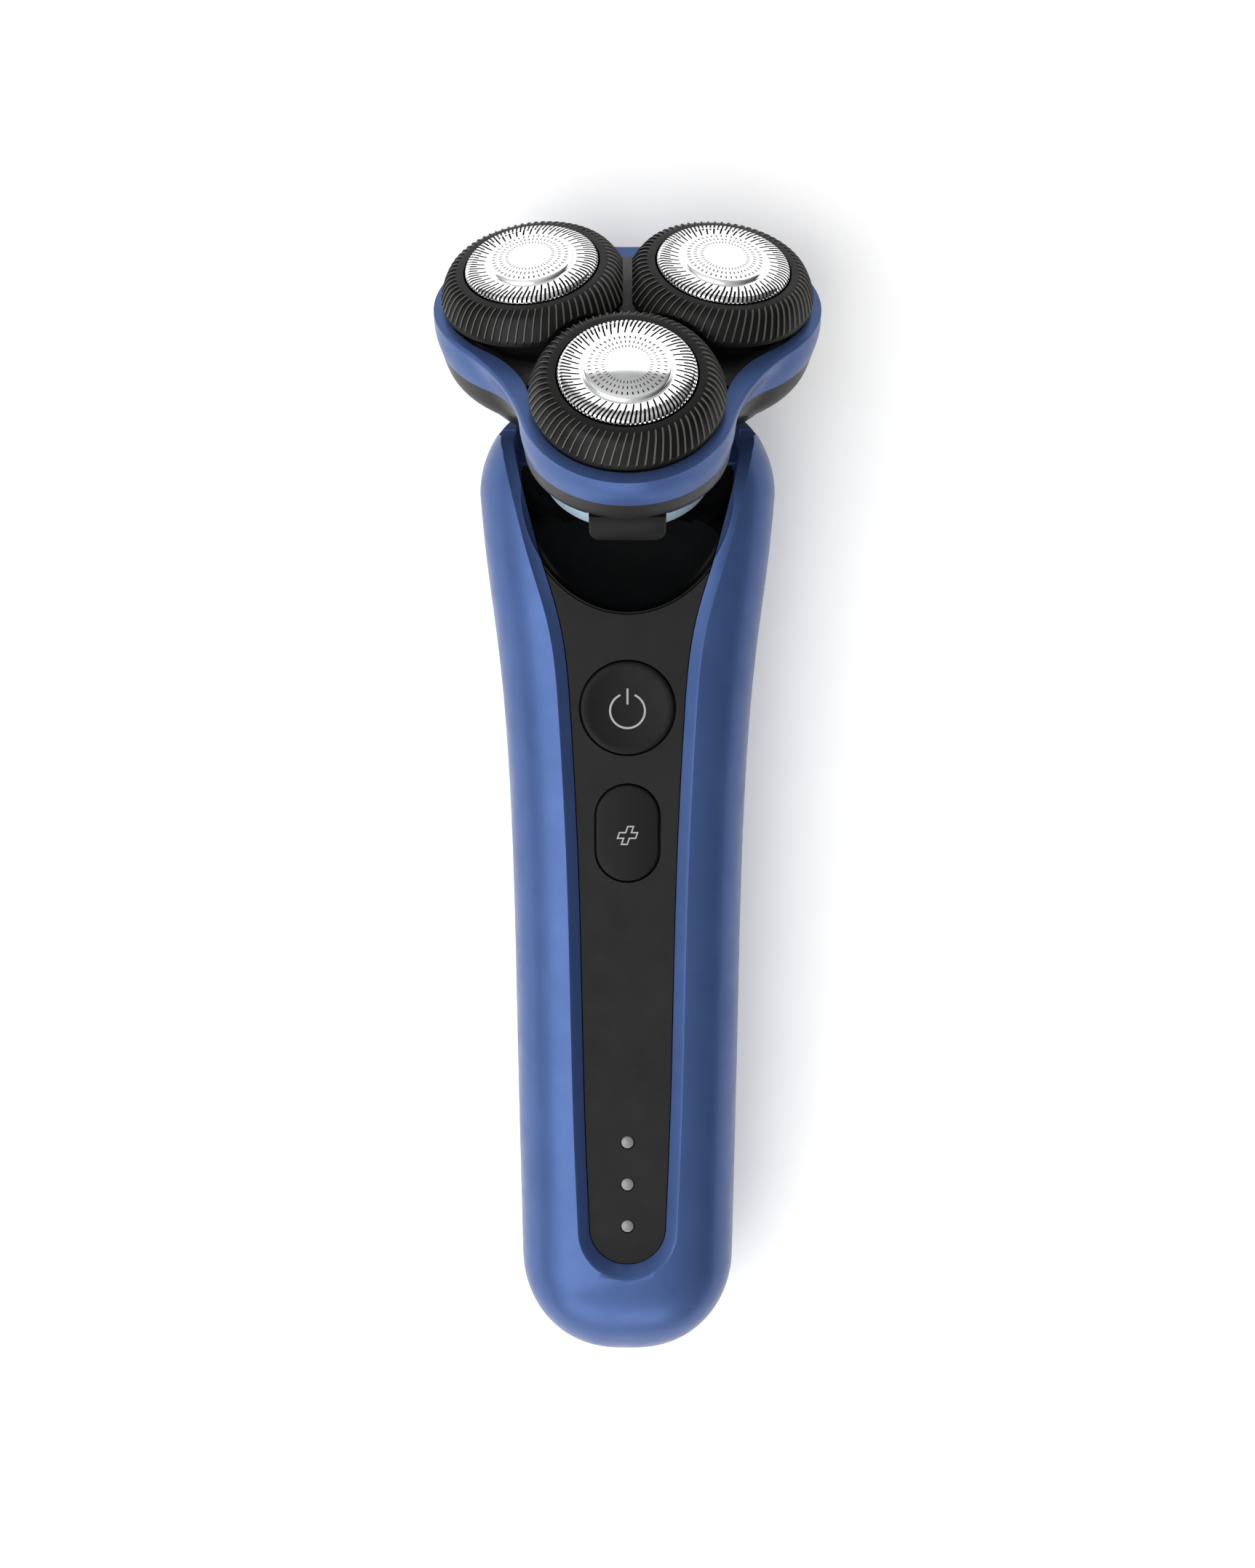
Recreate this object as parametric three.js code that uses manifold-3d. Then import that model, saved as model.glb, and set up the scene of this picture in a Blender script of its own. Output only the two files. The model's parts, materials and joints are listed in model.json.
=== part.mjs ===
// Rotary electric shaver with three floating heads, lying on its back.
// Millimetres. +X is right, +Y runs from the charging end to the head, +Z is out of the control
// face, and z = 0 is the surface that the rear grip lies on.

import * as THREE from 'three';
import * as BufferGeometryUtils from 'three/addons/utils/BufferGeometryUtils.js';
import Module from 'manifold-3d';

const wasm = await Module();
wasm.setup();

// ---------------------------------------------------------------- driving dimensions

const BODY_MID_Z = 15.0;
const BODY_HALF_DEPTH = 15.6;
const BODY_SQUARENESS = 2.8;
const BODY_END_Y = -79.5;
const BODY_END_LENGTH = 17.0;
const BODY_TOP_Y = 43.3;
const BODY_TOP_LENGTH = 18.8;
const BODY_WIDTH_STATIONS = [-79.5, -42, -6, 20, 36, 43.3];
const BODY_HALF_WIDTHS = [17.15, 17.75, 18.45, 20.25, 22.15, 22.75];
const WALL = 2.4;
const CAVITY_TOP_LENGTH = 6.0;
const SEAM_Z = 13.0;
const SEAM_HALF_GAP = 0.2;
const GAP = 0.3;
const GRIP_DEPTH = 1.2;
const REAR_FACE_Z = 0.35;

const PANEL_END_Y = -71.7;
const PANEL_TOP_Z = 28.3;
const PANEL_THICKNESS = 1.6;
const OPENING_STATIONS = [-71.7, -54, -14, 11, 25, 34.6, 45, 56, 64];
const OPENING_HALF_WIDTHS = [6.1, 6.75, 7.6, 8.75, 10.4, 13.2, 15.9, 18.3, 19.6];
const BEVEL_WIDTH = 1.6;

const POWER_Y = 11.5;
const POWER_HOLE_RADIUS = 7.4;
const MODE_Y = -7.9;
const MODE_HOLE_RADIUS = 5.1;
const MODE_HOLE_LENGTH = 15.6;
const LAMP_YS = [-57.5, -64.45, -71.4];
const LAMP_RADIUS = 1.0;

const SCOOP_Y = 47;
const SCOOP_Z = 28.9;
const SCOOP_RADII = [16.8, 21.0, 7.5];
const SCOOP_WALL = 1.5;

const DRIVE_Z = 14.45;
const CELL_Z = 12.0;
const CELL_RADIUS = 7.1;
const CELL_Y = [-66, -17];
const MOTOR_RADIUS = 7.75;
const MOTOR_Y = [1, 24];
const BOARD_Z = [22.7, 23.7];
const SCREW_SPOTS = [[-8.6, -74], [8.6, -74], [-14.6, 31], [14.6, 31]];
const SOCKET_HOLE_RADIUS = 4.5;
const SOCKET_HOLE_WIDTH = 13;
const SOCKET_Y = [-95.6, -84];
const MOUTH_RADIUS = 2.6;
const MOUTH_WIDTH = 9;
const MOUTH_FLOOR_Y = -87.6;
const PIN_XS = [-2.1, 2.1];
const PIN_RADIUS = 0.7;
const PIN_Y = [-91.6, -83];

const NECK_Y = 51.1;
const HEAD_TILT = THREE.MathUtils.degToRad(-50);
const DECK_TOP = -3.4;
const DECK_WALL = 1.2;
const NECK_CLEARANCE_RADIUS = 17.5;
const BASE_WALL = 1.6;
const SLEEVE_RADII = [8.6, 9.9];
const GIMBAL_PIN_RADIUS = 0.75;
const HINGE_PIN_RADIUS = 0.75;
const PIN_HOLE_RADIUS = 0.95;
const ROCKING_DROP = 4.0;
const ROCKING_ROOM = 3.05;
const TRIM_Z = [2.9, 4.2];
const TRIM_LOBE = { spread: 10.2, radius: 12.5, top: 6.6 };
const BEVEL_TEETH = 16;
const BEVEL_CONE = THREE.MathUtils.degToRad(20);
const BEVEL_REACH = [9.5, 12];

const BASE_Z = [4.5, 14.7];
const FRAME_Z = 15.0;
const HINGE = { y: 24.0, z: 14.3, radius: 1.6 };
const CAP_SPREAD = 16.5;
const CAP_HEIGHT = 28.1;
const CAP_TILT = THREE.MathUtils.degToRad(7);
const CAP_RADIUS = 9.9;
const CARRIER_RADIUS = 14.1;
const CARRIER_BORE = 10.2;
const CARRIER_SIDE_GAP = 0.7;
const SEAT_RADIUS = 16.6;
const SEAT_FLOOR = -6.5;
const HOLDER_ROOM_RADIUS = 12.3;
const HOLDER_DECK_Z = [17.4, 18.4];
const SPINE = { halfWidth: 1.2, frontTop: 19.4, rearTop: 21.4 };
const CUTTER_RADIUS = 8.8;
const CUTTER_BLADES = 6;
const LATCH = { halfWidth: 5.55, z: [6.3, 11.1], y: [-28.8, -26.2], corner: 1.7 };
const SPINDLE_TIP_DEPTH = 5.0;
const CENTRAL_TEETH = 20;
const SPINDLE_TEETH = 15;
const GEAR_Z = [8.6, 10.6];
const LOBE_ANGLES = [-90, 30, 150].map(THREE.MathUtils.degToRad);
const REAR_SPINE = 1;

// Three-lobed outlines of the head: height, distance of the lobe centres, lobe radius, waist radius.
const BASE_RINGS = [
  [BASE_Z[0], 9.0, 9.6, 12.4],
  [5.6, 11.0, 10.8, 13.8],
  [8.2, 12.9, 12.5, 15.4],
  [10.8, 14.2, 14.6, 17.4],
  [13.2, 15.0, 15.1, 18.7],
  [BASE_Z[1], 15.4, 15.2, 19.3],
];
const FRAME_RINGS = [
  [FRAME_Z, 15.4, 15.25, 19.4],
  [17.5, 15.6, 15.6, 20.3],
  [20.2, 15.6, 15.6, 21.4],
  [21.0, 15.4, 15.2, 21.1],
];
const FRAME_INSIDE = [15.4, 13.9, 18.4];
const TRIM_OUTLINE = [8.4, 9.2, 12.0];

// ---------------------------------------------------------------- materials

function finish(color, roughness, metalness = 0) {
  return new THREE.MeshStandardMaterial({ color, roughness, metalness });
}

const BLUE = finish(0x5a6fa8, 0.38, 0.3);
const BLACK = finish(0x1e1e20, 0.55);
const GLOSS_BLACK = finish(0x060607, 0.12);
const RUBBER = finish(0x232326, 0.85);
const DARK_GREY = finish(0x3a3a3c, 0.6);
const CHROME = finish(0xd8dade, 0.12, 1);
const STEEL = finish(0xa8abb0, 0.35, 1);
const BRASS = finish(0xb59a55, 0.35, 1);
const CYAN = finish(0xa5c2cf, 0.4);
const WHITE_PLASTIC = finish(0xd9d9d4, 0.5);
const BOARD_GREEN = finish(0x1f5b3a, 0.5);
const LAMP = finish(0xa0a0a0, 0.4);
const CELL_WRAP = finish(0x2f7d6b, 0.4);

// ---------------------------------------------------------------- solid helpers

function solid(geometry) {
  const bare = new THREE.BufferGeometry();
  bare.setAttribute('position', geometry.getAttribute('position').clone());
  if (geometry.index) bare.setIndex(geometry.index.clone());
  const merged = BufferGeometryUtils.mergeVertices(bare, 1e-4);
  const corners = merged.index.array;
  const faces = [];
  for (let i = 0; i < corners.length; i += 3) {
    const [a, b, c] = [corners[i], corners[i + 1], corners[i + 2]];
    if (a !== b && b !== c && c !== a) faces.push(a, b, c);
  }
  return new wasm.Manifold(new wasm.Mesh({
    numProp: 3,
    vertProperties: new Float32Array(merged.getAttribute('position').array),
    triVerts: new Uint32Array(faces),
  }));
}

function geometryOf(manifold) {
  const mesh = manifold.getMesh();
  const geometry = new THREE.BufferGeometry();
  geometry.setAttribute('position', new THREE.BufferAttribute(new Float32Array(mesh.vertProperties), 3));
  geometry.setIndex(new THREE.BufferAttribute(new Uint32Array(mesh.triVerts), 1));
  return geometry;
}

function cut(base, ...tools) {
  return tools.reduce((left, tool) => left.subtract(tool), base);
}

function join(first, ...others) {
  return others.reduce((sum, other) => sum.add(other), first);
}

function common(first, ...others) {
  return others.reduce((shared, other) => shared.intersect(other), first);
}

// A closed skin through rings of points; a ring of one point closes to a tip.
function loft(rings) {
  const positions = [];
  const starts = rings.map((ring) => {
    const start = positions.length / 3;
    ring.forEach((point) => positions.push(point.x, point.y, point.z));
    return start;
  });
  const faces = [];
  for (let i = 0; i + 1 < rings.length; i += 1) {
    const [low, high] = [rings[i], rings[i + 1]];
    const count = Math.max(low.length, high.length);
    for (let j = 0; j < count; j += 1) {
      const next = (j + 1) % count;
      const [a, b] = [j, next].map((corner) => starts[i] + (low.length > 1 ? corner : 0));
      const [c, d] = [next, j].map((corner) => starts[i + 1] + (high.length > 1 ? corner : 0));
      if (a !== b) faces.push([a, b, c]);
      if (c !== d) faces.push([a, c, d]);
    }
  }
  const closeEnd = (ring, start, flip) => {
    if (ring.length === 1) return;
    const alongY = Math.abs(ring[0].y - ring[Math.floor(ring.length / 3)].y) < 1e-6;
    const flat = ring.map((point) => new THREE.Vector2(point.x, alongY ? point.z : point.y));
    for (const [a, b, c] of THREE.ShapeUtils.triangulateShape(flat, [])) {
      faces.push(flip ? [start + c, start + b, start + a] : [start + a, start + b, start + c]);
    }
  };
  closeEnd(rings[0], starts[0], true);
  closeEnd(rings[rings.length - 1], starts[starts.length - 1], false);
  const at = (index) => new THREE.Vector3().fromArray(positions, 3 * index);
  const volume = faces.reduce((sum, [a, b, c]) => sum + at(a).dot(at(b).cross(at(c))), 0);
  const geometry = new THREE.BufferGeometry();
  geometry.setAttribute('position', new THREE.Float32BufferAttribute(positions, 3));
  geometry.setIndex(faces.flatMap(([a, b, c]) => (volume > 0 ? [a, b, c] : [a, c, b])));
  return geometry;
}

// A box between any two opposite corners.
function box(corner, opposite) {
  const size = opposite.map((value, axis) => Math.abs(value - corner[axis]));
  const middle = opposite.map((value, axis) => (value + corner[axis]) / 2);
  return new THREE.BoxGeometry(...size).translate(...middle);
}

// A round bar along Z between two heights.
function bar(radius, low, high, x = 0, y = 0, sides = 16) {
  const geometry = new THREE.CylinderGeometry(radius, radius, high - low, sides);
  return geometry.rotateX(Math.PI / 2).translate(x, y, (low + high) / 2);
}

// An outline of [radius, height] points turned about Z, in either direction round the outline.
function turned(points, sides = 20) {
  const profile = points.map(([radius, height]) => new THREE.Vector2(radius, height));
  if (THREE.ShapeUtils.area(profile) < 0) profile.reverse();
  if (points[0][0] > 0) profile.push(profile[0].clone());
  return new THREE.LatheGeometry(profile, sides).rotateX(Math.PI / 2);
}

function alongY(geometry, z) {
  return geometry.rotateX(-Math.PI / 2).translate(0, 0, z);
}

function prism(points, low, high) {
  const shape = new THREE.Shape(points);
  return new THREE.ExtrudeGeometry(shape, { depth: high - low, bevelEnabled: false }).translate(0, 0, low);
}

function grown(points, amount) {
  return points.map((point, i) => {
    const before = points[(i + points.length - 1) % points.length];
    const along = points[(i + 1) % points.length].clone().sub(before).normalize();
    return new THREE.Vector2(point.x + along.y * amount, point.y - along.x * amount);
  });
}

// A slot outline with round ends, long in Y.
function slot(radius, length, y = 0, steps = 6) {
  const reach = length / 2 - radius;
  const points = [];
  for (let i = 0; i <= steps; i += 1) {
    const angle = Math.PI * i / steps;
    points.push(new THREE.Vector2(radius * Math.cos(angle), y + reach + radius * Math.sin(angle)));
  }
  const lower = points.map((point) => new THREE.Vector2(-point.x, 2 * y - point.y));
  return points.concat(lower);
}

// A bar along Y with a stadium section that is wide in X.
function stadiumAlongY(radius, width, low, high) {
  const outline = slot(radius, width).map((point) => new THREE.Vector2(point.y, point.x)).reverse();
  return solid(alongY(prism(outline, low, high), BODY_MID_Z));
}

function ellipse(radiusX, radiusY, y, sides = 32) {
  return Array.from({ length: sides }, (_, i) => {
    const angle = 2 * Math.PI * i / sides;
    return new THREE.Vector2(radiusX * Math.cos(angle), y + radiusY * Math.sin(angle));
  });
}

// Three round lobes joined by hollow waists.
function trefoil(spread, radius, waist, lobeSteps = 6, waistSteps = 3) {
  const along = spread / 2;
  const across = spread * Math.sqrt(3) / 2;
  const drop = waist - along;
  const hollow = (drop * drop + across * across - radius * radius) / (2 * (radius - drop));
  const middle = new THREE.Vector2();
  const points = [];
  for (const angle of LOBE_ANGLES) {
    const lobe = new THREE.Vector2(spread, 0).rotateAround(middle, angle);
    const centre = new THREE.Vector2(waist + hollow, 0).rotateAround(middle, angle + Math.PI / 3);
    const sweep = centre.clone().sub(lobe).angle() - angle;
    const half = Math.atan2(Math.sin(sweep), Math.cos(sweep));
    for (let i = 0; i <= lobeSteps; i += 1) {
      const turn = angle + half * (2 * i / lobeSteps - 1);
      points.push(new THREE.Vector2(lobe.x + radius * Math.cos(turn), lobe.y + radius * Math.sin(turn)));
    }
    const bend = Math.PI / 3 - half;
    for (let i = 1; i < waistSteps; i += 1) {
      const turn = angle + 4 * Math.PI / 3 + bend * (2 * i / waistSteps - 1);
      points.push(new THREE.Vector2(centre.x + hollow * Math.cos(turn), centre.y + hollow * Math.sin(turn)));
    }
  }
  return points;
}

function trefoilRing([z, spread, radius, waist], inset = 0) {
  return trefoil(spread, radius - inset, waist - inset).map((p) => new THREE.Vector3(p.x, p.y, z));
}

// Short straight teeth, slim enough to run free in the mating gear.
function toothOutline(teeth, pitchRadius, turn = 0) {
  const pitchModule = 2 * pitchRadius / teeth;
  const tip = pitchRadius + 0.75 * pitchModule;
  const root = pitchRadius - 1.05 * pitchModule;
  const step = 2 * Math.PI / teeth;
  const points = [];
  for (let i = 0; i < teeth; i += 1) {
    for (const [radius, side] of [[root, -0.24], [tip, -0.1], [tip, 0.1], [root, 0.24]]) {
      const angle = turn + step * (i + side);
      points.push(new THREE.Vector2(radius * Math.cos(angle), radius * Math.sin(angle)));
    }
  }
  return points;
}

// A bevel wheel about Z whose teeth taper to the origin, from -reach[1] to -reach[0].
function bevelWheel(turn) {
  const ring = (reach) => toothOutline(BEVEL_TEETH, reach * Math.tan(BEVEL_CONE), turn)
    .map((point) => new THREE.Vector3(point.x, point.y, -reach));
  return loft([ring(BEVEL_REACH[1]), ring(BEVEL_REACH[0])]);
}

// ---------------------------------------------------------------- handle body

const bodyWidth = new THREE.CubicInterpolant(BODY_WIDTH_STATIONS, BODY_HALF_WIDTHS, 1);
const openingWidth = new THREE.CubicInterpolant(OPENING_STATIONS, OPENING_HALF_WIDTHS, 1);

function bodySection(y, halfWidth, halfDepth, sides) {
  return Array.from({ length: sides }, (_, i) => {
    const angle = 2 * Math.PI * i / sides;
    const [cos, sin] = [Math.cos(angle), Math.sin(angle)];
    const power = 2 / BODY_SQUARENESS;
    const x = halfWidth * Math.sign(cos) * Math.abs(cos) ** power;
    const z = BODY_MID_Z + halfDepth * Math.sign(sin) * Math.abs(sin) ** power;
    return new THREE.Vector3(x, y, z);
  });
}

function bodyLoft(inset, topLength, sides = 16, endSteps = 3, middleSteps = 4) {
  const depth = BODY_HALF_DEPTH - inset;
  const endLength = BODY_END_LENGTH - inset;
  const rings = [[new THREE.Vector3(0, BODY_END_Y - endLength, BODY_MID_Z)]];
  for (let i = 1; i < endSteps; i += 1) {
    const angle = Math.PI / 2 * i / endSteps;
    const scale = Math.sin(angle);
    const width = (BODY_HALF_WIDTHS[0] - inset) * scale;
    rings.push(bodySection(BODY_END_Y - endLength * Math.cos(angle), width, depth * scale, sides));
  }
  for (let i = 0; i <= middleSteps; i += 1) {
    const y = THREE.MathUtils.lerp(BODY_END_Y, BODY_TOP_Y, i / middleSteps);
    rings.push(bodySection(y, bodyWidth.evaluate(y)[0] - inset, depth, sides));
  }
  for (let i = 1; i < endSteps; i += 1) {
    const angle = Math.PI / 2 * i / endSteps;
    const width = (BODY_HALF_WIDTHS.at(-1) - inset) * Math.cos(angle);
    rings.push(bodySection(BODY_TOP_Y + topLength * Math.sin(angle), width, depth * Math.cos(angle), sides));
  }
  rings.push([new THREE.Vector3(0, BODY_TOP_Y + topLength, BODY_MID_Z)]);
  return loft(rings);
}

function frontHeight(x, y) {
  const beyondTop = Math.max(0, y - BODY_TOP_Y) / BODY_TOP_LENGTH;
  const beyondEnd = Math.max(0, BODY_END_Y - y) / BODY_END_LENGTH;
  const scale = Math.sqrt(Math.max(0.05, 1 - Math.max(beyondTop, beyondEnd) ** 2));
  const clamped = THREE.MathUtils.clamp(y, BODY_END_Y, BODY_TOP_Y);
  const share = Math.min(0.999, Math.abs(x) / (bodyWidth.evaluate(clamped)[0] * scale));
  return BODY_MID_Z + BODY_HALF_DEPTH * scale * (1 - share ** BODY_SQUARENESS) ** (1 / BODY_SQUARENESS);
}

// Outline of the front opening: a round lower end and sides that flare into the shoulders.
function openingOutline(sideSteps = 11, endSteps = 6) {
  const points = [];
  for (let i = 0; i < endSteps; i += 1) {
    const angle = Math.PI + Math.PI * i / endSteps;
    const radius = OPENING_HALF_WIDTHS[0];
    points.push(new THREE.Vector2(radius * Math.cos(angle), PANEL_END_Y + radius * Math.sin(angle)));
  }
  const side = [];
  for (let i = 0; i <= sideSteps; i += 1) {
    const y = THREE.MathUtils.lerp(PANEL_END_Y, OPENING_STATIONS.at(-1), i / sideSteps);
    side.push(new THREE.Vector2(openingWidth.evaluate(y)[0], y));
  }
  const mirrored = side.slice(1).reverse().map((point) => new THREE.Vector2(-point.x, point.y));
  return points.concat(side, mirrored);
}

const opening = openingOutline();

// The front opening with its sloping inner edge, as a tool that cuts the shell.
function openingTool() {
  const lip = grown(opening, BEVEL_WIDTH);
  const outside = grown(opening, BEVEL_WIDTH + 1);
  const heights = lip.map((point) => frontHeight(point.x, point.y));
  const ring = (points, height) => points.map((p, i) => new THREE.Vector3(p.x, p.y, height(heights[i])));
  return loft([
    ring(opening, () => SEAM_Z - 1),
    ring(opening, (z) => Math.min(PANEL_TOP_Z - 0.1, z - 0.7)),
    ring(lip, (z) => z + 0.05),
    ring(outside, () => BODY_MID_Z + 2 * BODY_HALF_DEPTH),
  ]);
}

function inHead(geometry) {
  return geometry.rotateX(HEAD_TILT).translate(0, NECK_Y, DRIVE_Z);
}

function scoop(growth, deck) {
  const bowl = new THREE.SphereGeometry(1, 20, 12);
  bowl.scale(SCOOP_RADII[0] + growth, SCOOP_RADII[1] + growth, SCOOP_RADII[2] + growth);
  bowl.translate(0, SCOOP_Y, SCOOP_Z);
  const room = inHead(bar(NECK_CLEARANCE_RADIUS + growth, deck, 40, 0, 0, 24));
  const rocking = BASE_RINGS.map((ring) => trefoilRing(ring, -ROCKING_ROOM - growth));
  rocking[0].forEach((point) => { point.z -= ROCKING_DROP + growth; });
  const trimRadius = TRIM_LOBE.radius + ROCKING_ROOM + growth;
  const trimRoom = bar(trimRadius, TRIM_Z[0] - ROCKING_DROP - growth, 20, 0, -TRIM_LOBE.spread, 32);
  return join(solid(bowl), solid(room), solid(inHead(loft(rocking))), solid(inHead(trimRoom)));
}

const outerBody = solid(bodyLoft(0, BODY_TOP_LENGTH, 24, 5, 6));
const cavity = solid(bodyLoft(WALL, CAVITY_TOP_LENGTH));
const tightCavity = solid(bodyLoft(WALL + GAP, CAVITY_TOP_LENGTH - GAP));
const neckRoom = scoop(0, DECK_TOP);
const socketHole = stadiumAlongY(SOCKET_HOLE_RADIUS, SOCKET_HOLE_WIDTH, -100, SOCKET_Y[1] + 4);
const frontOpening = solid(openingTool());

function slab(low, high) {
  return solid(box([-40, -120, low], [40, 80, high]));
}

function frontHousing() {
  const bosses = SCREW_SPOTS.map(([x, y]) => solid(bar(2.3, SEAM_Z + 0.5, 27.6, x, y, 10)));
  const holes = SCREW_SPOTS.map(([x, y]) => solid(bar(1.3, SEAM_Z - 1, 19.5, x, y, 10)));
  const shell = cut(outerBody, cavity);
  const bossed = join(shell, ...bosses.map((boss) => common(boss, outerBody)));
  const half = common(bossed, slab(SEAM_Z + SEAM_HALF_GAP, 40));
  return cut(half, frontOpening, neckRoom, socketHole, ...holes);
}

// The rubber pad is wider toward the head, with round ends.
function gripOutline() {
  const widths = new THREE.CubicInterpolant([-80, -58, -20, 8, 33], [9.4, 11.2, 11.4, 13.6, 17.6], 1);
  const side = [];
  for (let i = 0; i <= 8; i += 1) {
    const y = THREE.MathUtils.lerp(-80, 33, i / 8);
    side.push(new THREE.Vector2(widths.evaluate(y)[0], y));
  }
  const top = [[14.2, 37.2], [8, 39.4]].map(([x, y]) => new THREE.Vector2(x, y));
  const foot = [[3.6, -86], [7.2, -84.2]].map(([x, y]) => new THREE.Vector2(x, y));
  const right = [...foot, ...side, ...top];
  const left = right.map((point) => new THREE.Vector2(-point.x, point.y)).reverse();
  return right.concat(left);
}

const grip = gripOutline();

function rearHousing() {
  const recessFloor = solid(bodyLoft(GRIP_DEPTH + 0.2, BODY_TOP_LENGTH - 1, 24, 5, 6));
  const recess = cut(solid(prism(grown(grip, 0.2), -5, SEAM_Z - 3)), recessFloor);
  const bosses = SCREW_SPOTS.map(([x, y]) => solid(bar(2.6, 1.5, SEAM_Z - 0.5, x, y, 10)));
  const wells = SCREW_SPOTS.map(([x, y]) => solid(bar(2.0, -5, 6.0, x, y, 10)));
  const holes = SCREW_SPOTS.map(([x, y]) => solid(bar(1.3, 0, SEAM_Z + 1, x, y, 8)));
  const bossed = join(cut(outerBody, cavity), ...bosses.map((boss) => common(boss, outerBody)));
  const half = common(bossed, slab(REAR_FACE_Z, SEAM_Z - SEAM_HALF_GAP));
  const neckWell = solid(inHead(bar(7.2, -7.2, 0)));
  return cut(half, neckRoom, neckWell, socketHole, recess, ...wells, ...holes);
}

function rearGrip() {
  const inner = solid(bodyLoft(GRIP_DEPTH, BODY_TOP_LENGTH - 1, 24, 5, 6));
  return cut(common(outerBody, solid(prism(grip, 0, SEAM_Z - 3.4))), inner);
}

function controlPanel() {
  const low = PANEL_TOP_Z - PANEL_THICKNESS;
  const plate = solid(prism(grown(opening, -0.25), low, PANEL_TOP_Z));
  const bowlEdge = prism(ellipse(SCOOP_RADII[0] + 0.4, SCOOP_RADII[1] + 0.4, SCOOP_Y), low - 1, 40);
  const beyond = box([-30, SCOOP_Y, low - 1], [30, 80, 40]);
  const power = bar(POWER_HOLE_RADIUS, low - 1, 40, 0, POWER_Y, 28);
  const mode = prism(slot(MODE_HOLE_RADIUS, MODE_HOLE_LENGTH, MODE_Y), low - 1, 40);
  const lamps = LAMP_YS.map((y) => solid(bar(LAMP_RADIUS + 0.2, low - 1, 40, 0, y, 12)));
  return cut(plate, solid(bowlEdge), solid(beyond), solid(power), solid(mode), ...lamps);
}

function neckBowl() {
  const low = PANEL_TOP_Z - PANEL_THICKNESS - GAP;
  const skin = cut(scoop(SCOOP_WALL, DECK_TOP - DECK_WALL), neckRoom);
  const between = common(outerBody, solid(prism(grown(opening, -0.25), SEAM_Z + 0.5, 40)));
  const mouth = ellipse(SCOOP_RADII[0] + 0.15, SCOOP_RADII[1] + 0.15, SCOOP_Y);
  const rim = solid(prism(mouth, 10, PANEL_TOP_Z - 0.1));
  const level = join(slab(-5, low), rim);
  const neckHole = solid(inHead(bar(5.9, -14, 0)));
  const headRoom = solid(inHead(bar(30, DECK_TOP + 0.6, 60)));
  return cut(common(skin, join(tightCavity, between), level), neckHole, headRoom);
}

function chassis() {
  const limits = solid(box([-30, -80, 0], [30, 30, 9]));
  const roomy = solid(bodyLoft(WALL + 1.9, CAVITY_TOP_LENGTH - 2));
  const hollow = common(roomy, solid(box([-30, -78.6, 0], [30, 28.6, 20])));
  const outside = solid(bodyLoft(WALL + 0.5, CAVITY_TOP_LENGTH - 0.5));
  const tray = cut(common(outside, limits), hollow);
  const ribs = [-56, -25, 5, 19].map((y) => common(outside, solid(box([-14, y - 1, 2], [14, y + 1, 11]))));
  const cell = solid(alongY(bar(CELL_RADIUS + GAP, CELL_Y[0] - 1, CELL_Y[1] + 1), CELL_Z));
  const motor = solid(alongY(bar(MOTOR_RADIUS + GAP, MOTOR_Y[0] - 2, MOTOR_Y[1] + 2), DRIVE_Z));
  const bosses = SCREW_SPOTS.map(([x, y]) => solid(bar(3.0, 0, 20, x, y, 8)));
  return cut(join(tray, ...ribs), cell, motor, ...bosses);
}

function board() {
  const half = [[4.2, -76], [4.2, -66], [6, -64], [6, 22]];
  const right = half.map(([x, y]) => new THREE.Vector2(x, y));
  const left = right.map((point) => new THREE.Vector2(-point.x, point.y)).reverse();
  return prism(right.concat(left), ...BOARD_Z);
}

function tactSwitch(y) {
  const body = solid(box([-2.1, y - 2.1, BOARD_Z[1] + 0.1], [2.1, y + 2.1, BOARD_Z[1] + 1.3]));
  return join(body, solid(bar(1, BOARD_Z[1] + 1, BOARD_Z[1] + 1.6, 0, y, 12)));
}

function powerButton() {
  const top = PANEL_TOP_Z + 0.2;
  const low = PANEL_TOP_Z - PANEL_THICKNESS;
  const rim = POWER_HOLE_RADIUS - 0.3;
  return turned([
    [0, low - 0.8], [rim + 0.8, low - 0.8], [rim + 0.8, low - 0.2], [rim, low - 0.2],
    [rim, top - 0.4], [rim - 0.5, top], [rim - 2.2, top - 0.15], [0, top - 0.5],
  ], 28).translate(0, POWER_Y, 0);
}

function modeButton() {
  const low = PANEL_TOP_Z - PANEL_THICKNESS;
  const outline = slot(MODE_HOLE_RADIUS - 0.3, MODE_HOLE_LENGTH - 0.6, MODE_Y);
  const key = prism(outline, low - 0.5, PANEL_TOP_Z + 0.1);
  const flange = prism(grown(outline, 0.8), low - 0.8, low - 0.2);
  return join(solid(key), solid(flange));
}

function chargeSocket() {
  const shell = stadiumAlongY(SOCKET_HOLE_RADIUS - GAP, SOCKET_HOLE_WIDTH - 2 * GAP, ...SOCKET_Y);
  const mouth = stadiumAlongY(MOUTH_RADIUS, MOUTH_WIDTH, SOCKET_Y[0] - 1, MOUTH_FLOOR_Y);
  const pinHoles = PIN_XS.map((x) => {
    const hole = bar(PIN_RADIUS + 0.25, MOUTH_FLOOR_Y - 1, SOCKET_Y[1] + 1, x, 0, 12);
    return solid(alongY(hole, BODY_MID_Z));
  });
  return cut(shell, mouth, ...pinHoles);
}

function chargePin(x) {
  const points = [[0, PIN_Y[0]], [PIN_RADIUS, PIN_Y[0] + 0.4], [PIN_RADIUS, PIN_Y[1]], [0, PIN_Y[1]]];
  return alongY(turned(points, 8), BODY_MID_Z).translate(x, 0, 0);
}

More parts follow.
